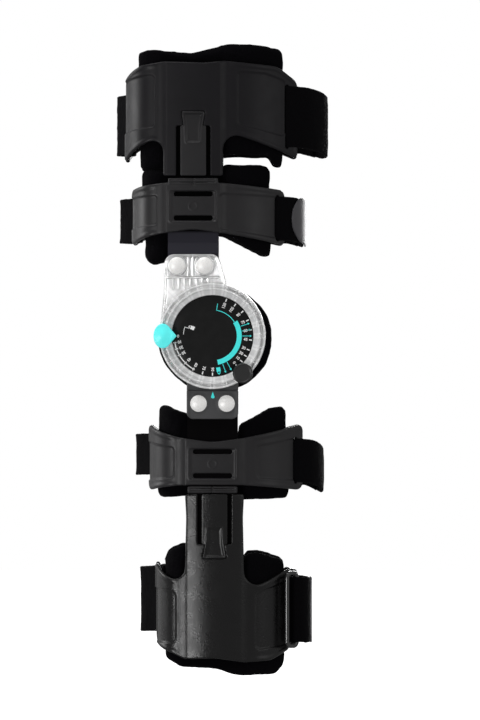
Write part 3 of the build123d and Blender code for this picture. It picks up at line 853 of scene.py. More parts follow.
def build_cuffs():
    """The two small cuffs, the two long shells and their tongues."""
    cuff = THIGH_CUFF
    small_cuff(cuff, (80, 68), (115, 109.5), [
        [(-75, 77, 2), (-41, 83, 3), (-41, 106, 3), (-75, 102, 2)],
        [(4.5, 80, 3), (48.5, 73, 3), (48.5, 105, 3), (4.5, 107.5, 4)]], 116.2, "thigh_frame")
    cuff = CALF_CUFF
    small_cuff(cuff, (79.5, 66), (112, 116), [
        [(-65, 76, 2), (-28.5, 83, 3), (-28.5, 107, 3), (-65, 110, 2)],
        [(33, 82, 3), (63.5, 76, 3), (63.5, 109, 3), (33, 107, 4)]], 115.4, "calf_frame")

    cuff = THIGH_SHELL
    left, right = cuff.mid - STEM_HALF, cuff.mid + STEM_HALF
    long_shell(cuff, [
        (left, 120, 1.5), (right, 120, 1.5), (right, 154, 10), (cuff.back, 133.5, 2.5),
        (cuff.back, 191, 8), (49, 202.5, 22), (right + 1, 206.5, 14), (cuff.mid + 8, 205, 20),
        (left, 206, 12), (-54, 203, 14), (cuff.front, 192, 6), (cuff.front, 131, 2),
        (left, 150, 8)], 120, [
        [(-78, 148, 2), (-43, 156.5, 3.5), (-43, 197, 4), (-78, 187, 2)],
        [(18.5, 158.5, 4), (55, 149, 3.5), (55, 192, 4), (40, 197.5, 10), (18.5, 199, 3.5)],
    ], SHELL_BLACK, "thigh_shells")
    tongue(cuff, 120, CUFF_BLACK, "thigh_release_tab")

    cuff = CALF_SHELL
    left, right = cuff.mid - STEM_HALF, cuff.mid + STEM_HALF
    long_shell(cuff, [
        (left + 0.3, 118.5, 1.5), (right - 0.3, 118.5, 1.5), (right - 1.2, 136, 60), (right, 191, 10),
        (cuff.back, 174, 2.5), (cuff.back, 235, 8), (44, 243.5, 18), (right, 245, 14),
        (cuff.mid, 241.5, 40), (left, 242.5, 8), (-30, 238, 12), (cuff.front, 229, 8),
        (cuff.front, 170, 2), (left, 186, 8), (left + 1.2, 136, 60)], 118.5, [
        [(-55, 186, 2), (-27, 191, 5), (-27, 231, 4), (-55, 228, 2)],
        [(32, 192, 4), (57.5, 183, 3), (57.5, 232, 4), (32, 236, 4)],
    ], CALF_BLACK, "calf_shells")
    tongue(cuff, 118.5, CALF_BLACK, "calf_release_tab")


# ------------------------------------------------------------------ pads

PAD_STEP = 2.6
PAD_TOP = 3.0                 # the pad lies this far under the skin
PAD_BOTTOM = 12.1
PUFF_STEPS = 20
PUFF_REACH = 1.9              # no point of a pad moves further than this
CLOTH = {
    "use_pressure": True, "uniform_pressure_force": 4.0, "tension_stiffness": 12,
    "compression_stiffness": 4, "bending_stiffness": 0.4, "quality": 4,
}
KNEE_PAD = ((2.0, -2.0), (43.0, 40.6))   # middle and half sizes of the oval knee pad


@dataclass
class Pad:
    """A pad that lines one cuff."""

    node: str
    cuff: Cuff
    body: str
    corners: list


PADS = [
    Pad("thigh_pad", THIGH_SHELL, "thigh_shells", [
        (-61, 124, 6), (-36, 124, 5), (-30, 134, 6), (47, 133.5, 3), (52, 127, 2), (58, 127, 1),
        (58, 206, 4), (56, 215.5, 5), (36, 220, 20), (10, 221.5, 20), (-6, 217, 16),
        (-17, 214, 16), (-46, 217, 16), (-61, 214, 3)]),
    Pad("thigh_cuff_pad", THIGH_CUFF, "thigh_frame", [
        (-58, 54, 9), (-34, 54, 7), (-33, 74, 8), (6, 74, 10), (48.5, 58, 4), (48, 129, 4),
        (10, 131, 6), (4, 125, 6), (-58, 125, 2)]),
    Pad("calf_cuff_pad", CALF_CUFF, "calf_frame", [
        (-47, 51, 3), (-19, 58, 5), (-18, 75, 6), (18, 75, 6), (20, 65, 5), (47, 54, 6),
        (61.5, 52, 4), (61, 122, 5), (20, 124, 20), (-10, 122, 20), (-46, 122, 4)]),
    Pad("calf_pad", CALF_SHELL, "calf_shells", [
        (-42, 162, 6), (-35, 158, 6), (-21, 154, 4), (-18, 166, 6), (22, 167, 6), (27, 162, 6),
        (43, 162.5, 10), (59, 168, 6), (58, 246, 5), (52, 255, 5), (20, 256, 30), (0, 251.5, 30),
        (-25, 250.5, 14), (-40, 243, 5)]),
]


def flat_pad(pad):
    """The pad as cut from its sheet, before it is puffed up."""
    cuff = pad.cuff
    heights = [h for _, h, _ in pad.corners]
    z_low, z_high = sorted((cuff.way * min(heights), cuff.way * max(heights)))
    low = (cuff.front - 2, -SKIN_D, z_low)
    high = (cuff.back + 2, -min(cuff.tip_d) + PAD_BOTTOM, z_high)
    axes = sample_axes(low, high, PAD_STEP)
    corners = on_skin(cuff, pad.corners)

    def shape(s, h):
        return inside(s, h, corners), UNCUT + 0 * s, -PAD_TOP - 1 + 0 * s, -PAD_BOTTOM + 0 * s

    return volume_mesh(pad.node, sheet_field(cuff, shape, axes, 3.6), axes, None)


def flat_knee_pad():
    """The oval pad behind the hinge, before it is puffed up."""
    axes = sample_axes(PAD_LOW, PAD_HIGH, PAD_STEP)
    x, y, z = np.meshgrid(*axes, indexing="ij", sparse=True)
    (middle_x, middle_z), (half_x, half_z) = KNEE_PAD
    rim = (np.hypot((x - middle_x) / half_x, (z - middle_z) / half_z) - 1) * half_z
    layer = np.abs(y - (PAD_LOW[1] + PAD_HIGH[1]) / 2) - (PAD_HIGH[1] - PAD_LOW[1]) / 2
    return volume_mesh("knee_pad", both(rim, layer + 0 * rim, 4.0), axes, None)


def puff(things):
    """Puff closed meshes up with a short cloth simulation that moves no point far."""
    scene = bpy.context.scene
    before = []
    for thing in things:
        cloth = thing.modifiers.new("puff", "CLOTH")
        cloth.settings.effector_weights.gravity = 0
        for setting, value in CLOTH.items():
            setattr(cloth.settings, setting, value)
        cloth.collision_settings.use_collision = False
        cloth.point_cache.frame_start = 1
        cloth.point_cache.frame_end = PUFF_STEPS
        before.append(read_points(thing.data))
    for step in range(1, PUFF_STEPS + 1):
        scene.frame_set(step)
    for thing, start in zip(things, before):
        apply_modifiers(thing)
        moved = read_points(thing.data) - start
        length = np.linalg.norm(moved, axis=1)[:, None].clip(1e-9)
        write_points(thing.data, start + moved / length * np.minimum(length, PUFF_REACH))
    scene.frame_set(1)


def read_points(mesh):
    """Points of a mesh in millimetres."""
    points = np.empty(len(mesh.vertices) * 3)
    mesh.vertices.foreach_get("co", points)
    return points.reshape(-1, 3) / MM


def write_points(mesh, points):
    """Move a mesh's points to places in millimetres."""
    mesh.vertices.foreach_set("co", (points * MM).ravel())
    mesh.update()


def read_normals(mesh):
    """Normals at the points of a mesh."""
    normals = np.empty(len(mesh.vertices) * 3)
    mesh.vertex_normals.foreach_get("vector", normals)
    return normals.reshape(-1, 3)


def value_noise(points, size):
    """Smooth noise in -1..1 with blobs of the given size, the same on every run."""
    cell = np.floor(points / size).astype(int)
    t = points / size - cell
    t = t * t * (3 - 2 * t)
    total = np.zeros(len(points))
    for corner in np.ndindex(2, 2, 2):
        key = cell + corner
        mixed = key[:, 0] * 73856093 ^ key[:, 1] * 19349663 ^ key[:, 2] * 83492791
        mixed = (mixed ^ (mixed >> 13)) * 1274126177 & 0x7FFFFFFF
        weight = np.prod(np.where(corner, t, 1 - t), axis=1)
        total += weight * (mixed / 0x3FFFFFFF - 1)
    return total


def roughen(thing, layers):
    """Push points along their normals by noise; layers are (size, height) in millimetres."""
    points, normals = read_points(thing.data), read_normals(thing.data)
    push = sum(height * value_noise(points, size) for size, height in layers)
    write_points(thing.data, points + normals * push[:, None])


def smooth_steps(thing, levels):
    """Subdivide a mesh and bake the result."""
    modifier = thing.modifiers.new("round", "SUBSURF")
    modifier.levels = modifier.render_levels = levels
    apply_modifiers(thing)
    shade(thing.data)


def tuck_under(thing, pad):
    """Keep a pad's outer face under its cuff."""
    points = read_points(thing.data)
    s, n = unroll(pad.cuff, points[:, 0], points[:, 1])
    h = pad.cuff.way * points[:, 2]
    span = pad.cuff.far - pad.cuff.near
    free = ramp(np.abs(h - (pad.cuff.far + pad.cuff.near) / 2), span / 2 + 1, span / 2 + 7)
    limit = inner_skin(s) - 0.25 + 0.9 * free
    over = np.maximum(n - limit, 0)
    _, lengths, tangents = skin_line(pad.cuff)
    along = np.stack([np.interp(s, lengths, tangents[:, k]) for k in (0, 1)], axis=1)
    points[:, 0] -= over * along[:, 1]
    points[:, 1] += over * along[:, 0]
    write_points(thing.data, points)


def build_pads():
    """Pads that line the cuffs, and the oval one behind the hinge."""
    flat = [flat_pad(pad) for pad in PADS]
    knee = flat_knee_pad()
    puff(flat + [knee])
    for pad, thing in zip(PADS, flat):
        smooth_steps(thing, 1)
        roughen(thing, [(22, 0.9), (7, 0.35), (2.6, 0.16)])
        tuck_under(thing, pad)
        thing.data.materials.append(PAD_BLACK)
        place_pair(thing, pad.node, pad.body)
    smooth_steps(knee, 1)
    roughen(knee, [(14, 0.5), (5, 0.3), (2.6, 0.16)])
    knee.data.materials.append(PAD_BLACK)
    place_pair(knee, "knee_pad", "thigh_frame")


# ------------------------------------------------------------------ straps

def even(path, step):
    """Resample a polyline at even steps."""
    path = np.asarray(path, float)
    lengths = lengths_along(path)
    count = max(int(round(lengths[-1] / step)), 2)
    places = np.linspace(0, lengths[-1], count + 1)
    return np.stack([np.interp(places, lengths, path[:, k]) for k in (0, 1)], axis=1), places


def half_loop(start, leave, far_x):
    """Curve from start round the leg to the middle plane, which it crosses squarely at far_x."""
    end = np.array((far_x, 0.0))
    reach = np.linalg.norm(end - start)
    return hermite(start, leave * reach, end, np.array((0, 1)) * reach, 60)


def soften(points, rounds):
    """Polyline of even steps through points, with its corners rounded off."""
    path, _ = even(points, 0.7)
    for _ in range(rounds):
        path[1:-1] += 0.5 * ((path[:-2] + path[2:]) / 2 - path[1:-1])
    return path


def droop(y, depth):
    """Share of the full sag: a loose strap hangs lowest a little past the middle."""
    share = np.clip((y / depth + 1) / 2, 0, 1)
    return math.sin(math.pi * share ** LOWEST_POWER)


def ribbon(name, path, span, thick, material, sag, step=1.4, ends=(0, 0), noise=True):
    """Flat webbing swept along a path in the XY plane; sag is (how far, over what depth)."""
    path, places = even(path, step)
    half, middle = (span[1] - span[0]) / 2, (span[1] + span[0]) / 2
    across = ribbon_section(half, thick)
    total = places[-1]
    rings = []
    for (point, normal), place in zip(offsets(path), places):
        drop = sag[0] * droop(point[1], sag[1])
        reach = end_share(place, ends[0]) * end_share(total - place, ends[1])
        ripple = 0.35 * math.sin(place / 17 + middle) if noise else 0
        for width, lift in across:
            cup = -0.5 * (width / half) ** 4 if noise else 0
            out = lift * min(1, reach * 3) + cup + ripple * math.cos(width / half * 1.3)
            rings.append((point[0] + normal[0] * out, point[1] + normal[1] * out,
                          middle + width * reach - drop))
    count = len(across)
    faces = [(i * count + k, i * count + (k + 1) % count, (i + 1) * count + (k + 1) % count,
              (i + 1) * count + k) for i in range(len(path) - 1) for k in range(count)]
    faces.append(tuple(range(count))[::-1])
    faces.append(tuple((len(path) - 1) * count + k for k in range(count)))
    thing = make_object(name, rings, faces, material)
    bm = bmesh.new()
    bm.from_mesh(thing.data)
    bmesh.ops.recalc_face_normals(bm, faces=bm.faces)
    bm.to_mesh(thing.data)
    bm.free()
    return thing


def end_share(place, length):
    """Share of the full width at a distance from a rounded end."""
    if length <= 0:
        return 1.0
    t = min(place / length, 1.0)
    return max(math.sqrt(max(1 - (1 - t) ** 2, 0)), 0.06)


def ribbon_section(half, thick):
    """Rounded section of a ribbon: (across, outwards) pairs."""
    radius = thick / 2
    steps = max(int(half / 0.9), 8)
    upper = [(w, radius) for w in np.linspace(half - radius, radius - half, steps)]
    turns = (0.5, 1.05, 1.57, 2.1, 2.64)
    left = [(radius - half - radius * math.sin(a), radius * math.cos(a)) for a in turns]
    lower = [(-w, -radius) for w, _ in upper]
    right = [(-w, -lift) for w, lift in left]
    return upper + left + lower + right


def mirror_path(half_path):
    """A path from the lateral side to the middle, continued to the medial side."""
    half_path = np.asarray(half_path)
    return np.vstack((half_path, (half_path * (1, -1))[::-1][1:]))


def skin_point(cuff, s, n):
    """Point at s along a cuff's skin and n outside it, with the skin's direction."""
    points, lengths, tangents = skin_line(cuff)
    point = np.array([np.interp(s, lengths, points[:, k]) for k in (0, 1)])
    along = np.array([np.interp(s, lengths, tangents[:, k]) for k in (0, 1)])
    return point + n * np.array((along[1], -along[0])), along


def lay(cuff, start, end, n, count=12):
    """Points laid along a cuff's skin."""
    return [skin_point(cuff, s, n)[0] for s in np.linspace(start, end, count)]


def back_strap_path(cuff):
    """Out through the wing's slot, over its end bar and round the back of the leg."""
    tip = s_at(cuff, cuff.back)
    turn = tip - cuff.slot_in - SLOT_HALF + STRAP_THICK / 2 + 0.1
    under, over = -WALL - STRAP_THICK / 2 - 0.1, STRAP_THICK / 2 + 0.15
    point, along = skin_point(cuff, tip + 1.5, over)
    loop = half_loop(point, along, cuff.loop[1] - STRAP_THICK / 2)
    doubled = [p - (STRAP_THICK + 0.15) * n for p, n in offsets(loop[:26])]
    inner = doubled[::-1] + lay(cuff, tip + 1.5, turn + 2.2, under, 6)
    bend = [skin_point(cuff, turn + 0.6, under)[0], skin_point(cuff, turn, -WALL / 2)[0],
            skin_point(cuff, turn + 0.6, over)[0]]
    outer = lay(cuff, turn + 2.2, tip + 1.5, over, 6)
    return soften(inner + bend + outer + list(loop[1:]), 5)


def ring_strap_path(cuff):
    """Out through the wing's slot and the oblong ring, over its outer rail and round the leg."""
    tip = s_at(cuff, cuff.back)
    slot_s = tip - cuff.slot_in
    rail_s, rail_n, rail_r = tip + 0.3, 5.8, 1.6
    gap = rail_r + STRAP_THICK / 2 + 0.1
    under = lay(cuff, slot_s - 14, slot_s - 3, -WALL - STRAP_THICK / 2 - 0.1)
    rise = [skin_point(cuff, slot_s + s, n)[0] for s, n in ((-0.4, -2.4), (0, -1.0), (0.6, 2.0))]
    bend = [skin_point(cuff, rail_s + gap * math.sin(a), rail_n + gap * math.cos(a))[0]
            for a in np.radians((-95, -75, -50, -25))]
    point, along = skin_point(cuff, rail_s + 1, rail_n + gap)
    loop = half_loop(point, along, cuff.loop[1] - STRAP_THICK / 2)
    return soften(under + rise + bend + list(loop), 3)


def offsets(path):
    """Each point of a path with its normal, pointing outwards."""
    tangents = directions(path)
    return zip(path, np.stack((tangents[:, 1], -tangents[:, 0]), axis=1))


def front_strap_path(cuff):
    """From inside the front wing round the front of the leg."""
    tip = s_at(cuff, cuff.front)
    under = -WALL - STRAP_THICK / 2 - 0.3
    laid = lay(cuff, tip + 13, tip - 1.5, under)
    _, along = skin_point(cuff, tip - 1.5, under)
    loop = half_loop(laid[-1], -along, cuff.loop[0] + STRAP_THICK / 2)
    return soften(laid + list(loop[1:]), 5)


def build_strap(cuff, name, body, path, heights, sag):
    """One strap between the lateral and the medial wings."""
    span = sorted(cuff.way * h for h in heights)
    thing = ribbon(name + "_look", mirror_path(path), span, STRAP_THICK, STRAP_BLACK, sag)
    roughen(thing, [(9, 0.22), (2.2, 0.16), (1.1, 0.10)])
    hang(thing, body, name)


def build_hook_tab(cuff, name, body, path, start, length, sag):
    """Hook tab outside a back strap, D-shaped at one end; start is measured from behind the knee."""
    whole, places = even(mirror_path(path), 1.0)
    chosen = [p + n * (STRAP_THICK / 2 + 0.75) for (p, n), place in zip(offsets(whole), places)
              if start <= place - places[-1] / 2 <= start + length]
    span = sorted(cuff.way * h for h in cuff.strap_h)
    span = (span[0] - 0.4, span[1] + 0.4)
    thing = ribbon(name + "_look", chosen, span, 1.3, HOOK_GREY, sag, 0.9, (length * 0.35, 2.0), False)
    hang(thing, body, name)


def build_straps():
    """Front and back straps of all four cuffs with their hook tabs."""
    for cuff, label, body, sag in (
        (THIGH_SHELL, "upper_thigh", "thigh_shells", 7.5),
        (THIGH_CUFF, "lower_thigh", "thigh_frame", 4.5),
        (CALF_CUFF, "upper_calf", "calf_frame", 8.0),
        (CALF_SHELL, "lower_calf", "calf_shells", 2.0),
    ):
        front = front_strap_path(cuff)
        back = ring_strap_path(cuff) if cuff is CALF_SHELL else back_strap_path(cuff)
        front_sag = (1.0, np.abs(front[:, 1]).max())
        back_sag = (sag, np.abs(back[:, 1]).max())
        build_strap(cuff, label + "_front_strap", body, front, cuff.front_strap_h, front_sag)
        build_strap(cuff, label + "_back_strap", body, back, cuff.strap_h, back_sag)
        start, length = (-45, 48) if cuff is THIGH_CUFF else (14, 26)
        build_hook_tab(cuff, label + "_hook_tab", body, back, start, length, back_sag)


# ------------------------------------------------------------------ hinge

def plan_axes(low, high, step):
    """Sample positions, and the coordinates that they give."""
    axes = sample_axes(low, high, step)
    return axes, np.meshgrid(*axes, indexing="ij", sparse=True)


def layer(y, low_d, high_d):
    """Field of the space between two outward distances."""
    return np.abs(-y - (low_d + high_d) / 2) - (high_d - low_d) / 2


def slab(plan, y, low_d, high_d, radius):
    """Field of a plan drawn out between two outward distances, with rounded edges."""
    return both(plan, layer(y, low_d, high_d) + 0 * plan, radius)


def polar(x, z):
    """Radius, and angle in degrees from +X towards +Z."""
    return np.hypot(x, z), np.degrees(np.arctan2(z, x))


RIVET_UP_X = THIGH_MID - 1.8      # middle of the upper pair of rivets
RIVET_UP_H = 52.9
RIVET_UP_HALF = 10.3
RIVET_LOW_X = 10.5
RIVET_LOW_H = -50.6
RIVET_HOLE_R = 2.6
PIVOT_HOLE_R = 4.05
COVER_FLOOR_D = 74.1
COVER_FACE_D = 77.6
GROOVE_R = 37.2                   # middle of the groove that the stops run in
GROOVE_WALLS = ((38.95, 0.75), (35.4, 0.8))   # radius and half thickness of each wall
RECESS_R = 34.4                   # where the dial lies
NECK_D = (72.5, 79.0)
ARM_BACK_D, ARM_FACE_D = 69.8, 73.8
BOOT_FACE_D = 75.4                # the thicker lower end of the arm, round its rivets
NECK_TOP = 61.3


def ring_field(x, y, z):
    """Ring round the dial: a groove between two walls, crossed by paired ribs."""
    r, angle = polar(x, z)
    body = slab(r - RING_R, y, COVER_FLOOR_D, COVER_FACE_D, 0.6)
    walls = np.minimum(*(np.abs(r - radius) - half for radius, half in GROOVE_WALLS))
    rims = slab(walls, y, 75, RING_FACE_D - 0.4, 0.5)
    shape = np.maximum(join(body, rims, 0.4), -both(r - RECESS_R, 75.6 + y, 0.5))
    pitch = 360 / RIBS
    phase = (angle + pitch / 2) % pitch - pitch / 2
    arc = np.radians(np.abs(np.abs(phase) - RIB_OFF)) * r - 0.42
    across = np.maximum(arc, np.abs(r - GROOVE_R) - 2.5)
    shape = join(shape, np.maximum(across, layer(y, 76, 79.2)), 0.3)
    shape = join(shape, np.maximum(np.maximum(across, walls + 0.1), layer(y, 76, 82.1)), 0.2)
    return join(shape, slab(np.abs(r - 32.6) - 1.9, y, 75, COVER_FACE_D, 0.5), 0.4)


def neck_field(axes, x, y, z):
    """Neck above the ring: an edged plate with rivet bosses and ribs."""
    left, right = THIGH_MID - 21.1, THIGH_MID + 18.6
    plan = inside(x[:, 0, :], z[0], [
        (left, NECK_TOP, 7), (right, NECK_TOP, 7), (right + 3.5, 50, 6), (right + 8, 34, 6),
        (0, 10, 4), (left - 4, 5, 1), (left - 1, 30, 20)])[:, None, :]
    plan = np.maximum(plan, 36.5 - np.hypot(x, z))
    edge = slab(np.abs(plan + 0.9) - 0.9, y, 74, NECK_D[1] - 0.2, 0.5)
    neck = np.minimum(slab(plan, y, NECK_D[0], 76.2, 0.7), edge)
    for side in (-1, 1):
        boss = np.hypot(x - RIVET_UP_X - side * RIVET_UP_HALF, z - RIVET_UP_H)
        neck = join(neck, slab(boss - 7.6, y, 74, 78.9, 0.5), 0.3)
        neck = np.maximum(neck, RIVET_HOLE_R - boss + 0 * y)
    bars = [(RIVET_UP_X + side * 1.7, 45, 60) for side in (-1, 1)]
    bars += [(RIVET_UP_X + k * 4.4, 35, 43) for k in range(-3, 4)]
    for bar_x, bar_low, bar_high in bars:
        rib = box_field(axes, (bar_x - 0.7, -78.6, bar_low), (bar_x + 0.7, -74, bar_high), 0.4)
        neck = join(neck, rib, 0.3)
    beam = box_field(axes, (left + 1, -78.8, 43.2), (right + 1, -74, 44.6), 0.4)
    return join(neck, beam, 0.3)


def build_cover():
    """Clear ring round the dial, with a ribbed neck above it."""
    low = (-RING_R - 2, -RING_FACE_D - 1, -RING_R - 1)
    high = (RING_R + 1, -NECK_D[0] + 0.5, NECK_TOP + 1.2)
    axes, (x, y, z) = plan_axes(low, high, 0.42)
    shape = join(ring_field(x, y, z), neck_field(axes, x, y, z), 0.5)
    thing = volume_mesh("hinge_cover", shape, axes, CLEAR, 0.5)
    place_pair(thing, "hinge_cover", "thigh_frame")


def build_arm():
    """Dark hub and arm below the ring, with raised edges and bosses round the rivets."""
    axes, (x, y, z) = plan_axes((-35, -77, -63.5), (35, -69.5, 35), 0.55)
    half = BAR_WIDTH / 2 + 0.3
    r = np.hypot(x, z)
    hub = slab(r - 34, y, ARM_BACK_D, ARM_FACE_D, 0.5)
    arm = oblong(x, z, (0, -31), (half, 31.3), 5.0)
    plate = slab(arm, y, ARM_BACK_D, ARM_FACE_D, 0.5)
    boot = np.maximum(arm, z + 40.8)
    block = slab(boot, y, ARM_BACK_D, BOOT_FACE_D, 0.6)
    rails = slab(np.maximum(boot, half - 1.9 - np.abs(x)), y, 71, 76.1, 0.4)
    shape = np.minimum(np.minimum(hub, plate), join(block, rails, 0.3))
    for rivet_x in (-RIVET_LOW_X, RIVET_LOW_X):
        boss = np.hypot(x - rivet_x, z - RIVET_LOW_H)
        shape = join(shape, slab(boss - 7.4, y, 71, 76.0, 0.4), 0.4)
        shape = np.maximum(shape, RIVET_HOLE_R - boss)
    shape = np.maximum(shape, PIVOT_HOLE_R - r)
    thing = volume_mesh("lower_arm", shape, axes, ARM_GREY, 0.4)
    place_pair(thing, "lower_arm", "calf_frame")


def drop_plan(u, v, centre_r, body_r, tip_r):
    """Teardrop outline that points at the axis from the +X side."""
    ball = np.hypot(u - centre_r, v) - body_r
    reach = centre_r - tip_r
    lean = math.asin(body_r / reach)
    wedge = np.abs(v) * math.cos(lean) - (u - tip_r) * math.sin(lean)
    touch = centre_r - body_r * math.sin(lean)
    wedge = np.maximum(wedge, u - touch)
    return np.minimum(ball, wedge)


STOP_REACH = 11.0                 # half size of the space that a stop is modelled in
STOP_FLOOR_D = 82.2
DROP_R, DROP_BALL, DROP_TIP = 37.2, 7.0, 26.8
DROP_STRETCH = 0.76               # the drop is this much narrower along the ring
BUTTON_R, BUTTON_BALL = 36.0, 7.6


def build_stop(name, turn, drop, material):
    """A range stop: a domed button on the ring with a foot in its groove."""
    angle = math.radians(turn)
    centre_r = DROP_R if drop else BUTTON_R
    middle_x, middle_z = centre_r * math.cos(angle), centre_r * math.sin(angle)
    low = (middle_x - STOP_REACH, -87, middle_z - STOP_REACH)
    high = (middle_x + STOP_REACH, -78.5, middle_z + STOP_REACH)
    axes, (x, y, z) = plan_axes(low, high, 0.32)
    u = x * math.cos(angle) + z * math.sin(angle)
    v = z * math.cos(angle) - x * math.sin(angle)
    if drop:
        plan = drop_plan(u, v * DROP_STRETCH, centre_r, DROP_BALL, DROP_TIP)
        dome = -y - 86.0 + 1.5 * ramp(plan, -7, 0)
    else:
        plan = np.hypot(u - centre_r, v) - BUTTON_BALL
        dome = -y - 85.2 - 0.5 * ramp(plan, -1.7, -1.2) * (1 - ramp(plan, -0.9, 0))
    button = both(plan, np.maximum(dome, STOP_FLOOR_D + y), 0.9)
    foot = np.maximum(np.abs(np.hypot(x, z) - GROOVE_R - 0.1) - 0.7, np.abs(v) - 4)
    foot = np.maximum(foot, layer(y, 79.4, 83.5))
    thing = volume_mesh(name, np.minimum(button, foot), axes, material, 0.6)
    side_body = "{side}_" + ("extension" if drop else "flexion") + "_slider"
    place_pair(thing, name, side_body)


# ------------------------------------------------------------------ printing on the dial

PRINT_D = DIAL_FACE_D + 0.02
PRINT_THICK = 0.05


def stamp(name, outline, material, layer_d=PRINT_D):
    """Thin printed patch from an outline in X and Z."""
    outline = np.asarray(outline, float)
    area = np.sum(outline[:, 0] * np.roll(outline[:, 1], -1) - np.roll(outline[:, 0], -1) * outline[:, 1])
    if area < 0:
        outline = outline[::-1]
    count = len(outline)
    points = [(x, -d, z) for d in (layer_d, layer_d + PRINT_THICK) for x, z in outline]
    faces = [tuple(range(count))[::-1], tuple(range(count, 2 * count))]
    faces += [(i, (i + 1) % count, count + (i + 1) % count, count + i) for i in range(count)]
    return make_object(name, points, faces, material, False)


def arc_band(inner, outer, start, end, count=48):
    """Outline of a band between two radii and two angles."""
    angles = np.radians(np.linspace(start, end, count))
    ring = np.stack((np.cos(angles), np.sin(angles)), axis=1)
    return np.vstack((ring * inner, ring[::-1] * outer))


def bar(inner, outer, half, turn, material):
    """Printed bar along a radius."""
    outline = [(inner, -half), (outer, -half), (outer, half), (inner, half)]
    return stamp("bar", at_angle(outline, turn), material)


def at_angle(outline, turn):
    """Turn an outline drawn on the +X side to an angle in degrees."""
    c, s = math.cos(math.radians(turn)), math.sin(math.radians(turn))
    return np.asarray(outline) @ np.array(((c, s), (-s, c)))


def number(text, radius, turn, size, material, side):
    """A number whose baseline runs outwards along a radius, readable from its own side."""
    curve = bpy.data.curves.new("number", "FONT")
    curve.body = text
    curve.size = size * MM
    curve.align_x, curve.align_y = "RIGHT", "CENTER"
    curve.extrude = PRINT_THICK / 2 * MM
    curve.resolution_u = 3
    curve.offset = 0.07 * MM
    thing = add_object("number", curve)
    angle = math.radians(turn)
    spot = Vector((radius * math.cos(angle), -PRINT_D - PRINT_THICK / 2, radius * math.sin(angle)))
    place = Matrix.Translation(spot * MM)
    thing.matrix_world = place @ Matrix.Rotation(-angle, 4, "Y") @ Matrix.Rotation(math.pi / 2, 4, "X")
    bpy.context.view_layer.update()
    mesh = bpy.data.meshes.new_from_object(thing.evaluated_get(bpy.context.evaluated_depsgraph_get()))
    mesh.transform(thing.matrix_world)
    if side == "medial":
        mesh.transform(Matrix.Rotation(math.pi, 4, Vector((math.cos(angle), 0, math.sin(angle)))))
    mesh.materials.clear()
    mesh.materials.append(material)
    bpy.data.objects.remove(thing)
    return add_object("number", mesh)


def padlock(turn, radius, size, material):
    """A small padlock sign: its body and its shackle."""
    body = [(-1, -0.9), (0.9, -0.9), (0.9, 0.9), (-1, 0.9)]
    angles = np.radians(np.linspace(-90, 90, 12))
    shackle = [(0.9 + 1.2 * math.cos(a), 0.72 * math.sin(a)) for a in angles]
    shackle += [(0.9 + 0.8 * math.cos(a), 0.4 * math.sin(a)) for a in angles[::-1]]
    parts = []
    for outline in (body, shackle):
        placed = np.array(outline) * size + (radius, 0)
        parts.append(stamp("padlock", at_angle(placed, turn), material))
    return parts


def arrow(turn, inner, outer, material):
    """Thin arrow that points outwards."""
    head = 1.5
    outline = [(inner, -0.22), (outer - head, -0.22), (outer - head, -0.85), (outer, 0),
               (outer - head, 0.85), (outer - head, 0.22), (inner, 0.22)]
    return [stamp("arrow", at_angle(outline, turn), material)]


def merge(name, things):
    """Join meshes into one object."""
    bm = bmesh.new()
    for thing in things:
        bm.from_mesh(thing.data)
    mesh = bpy.data.meshes.new(name)
    bm.to_mesh(mesh)
    bm.free()
    mesh.materials.append(things[0].data.materials[0])
    shade(mesh, things[0].data.polygons[0].use_smooth)
    for thing in things:
        bpy.data.objects.remove(thing)
    return add_object(name, mesh)


SCALES = (                    # where each scale's zero stands, and its marks
    (-51, (0, 10, 20, 30, 45, 60, 75, 90, 105, 120)),
    (180, (0, 10, 20, 30, 45, 60, 75, 90)),
)


def white_print_and_glare():
    """Ticks, padlock with its leader line, and a white arc along the rim that is a painted reflection, the
    glare of the clear ring's inner wall.
    """
    parts = [bar(27.5, 29.8, 0.42, zero + mark, WHITE_INK) for zero, marks in SCALES for mark in marks]
    parts += padlock(158, 16.2, 1.5, WHITE_INK)
    parts.append(stamp("leader", arc_band(21.6, 22.0, 162, 177), WHITE_INK))
    parts.append(bar(18.6, 22, 0.2, 162, WHITE_INK))
    # Painted reflection: this white arc stands for the glare of the clear ring's inner wall.
    parts.append(stamp("arc", arc_band(28.3, 29.0, 189, 242), WHITE_INK))
    return merge("dial_white", parts)


def teal_print():
    """Locking range band with its arrows, leader line and padlock."""
    parts = [stamp("band", arc_band(18.2, 21.9, -79, 32), TEAL_INK)]
    parts.append(stamp("line", arc_band(19.2, 19.7, 31, 81), TEAL_INK))
    parts.append(bar(19.2, 24.6, 0.25, 81, TEAL_INK))
    for turn in (19, 9.5, 0, -61, -70):
        parts += arrow(turn, 22.4, 29.4, TEAL_INK)
    parts += padlock(-80, 25.6, 1.7, TEAL_INK)
    return merge("dial_teal", parts)


def arm_pointer():
    """Inlaid drop on the arm that points up at the ring."""
    angles = np.radians(np.linspace(200, 340, 14))
    outline = [(0.2 + 1.5 * math.cos(a), -45.3 + 1.5 * math.sin(a)) for a in angles]
    outline.append((0.2, -41.6))
    return stamp("arm_pointer", outline, TEAL_INK, BOOT_FACE_D + 0.05)


def place_print(build, name, body):
    """Printing for both sides."""
    for _, piece in both_sides(build(), name):
        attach(piece, body)


def place_numbers():
    """Numbers of both scales, which read the right way on each side."""
    for side in SIDES:
        glyphs = [number(str(mark), 26.5, zero + mark, 3.0, WHITE_INK, side)
                  for zero, marks in SCALES for mark in marks]
        thing = merge(f"{side}_dial_numbers", glyphs)
        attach(thing, "thigh_frame")


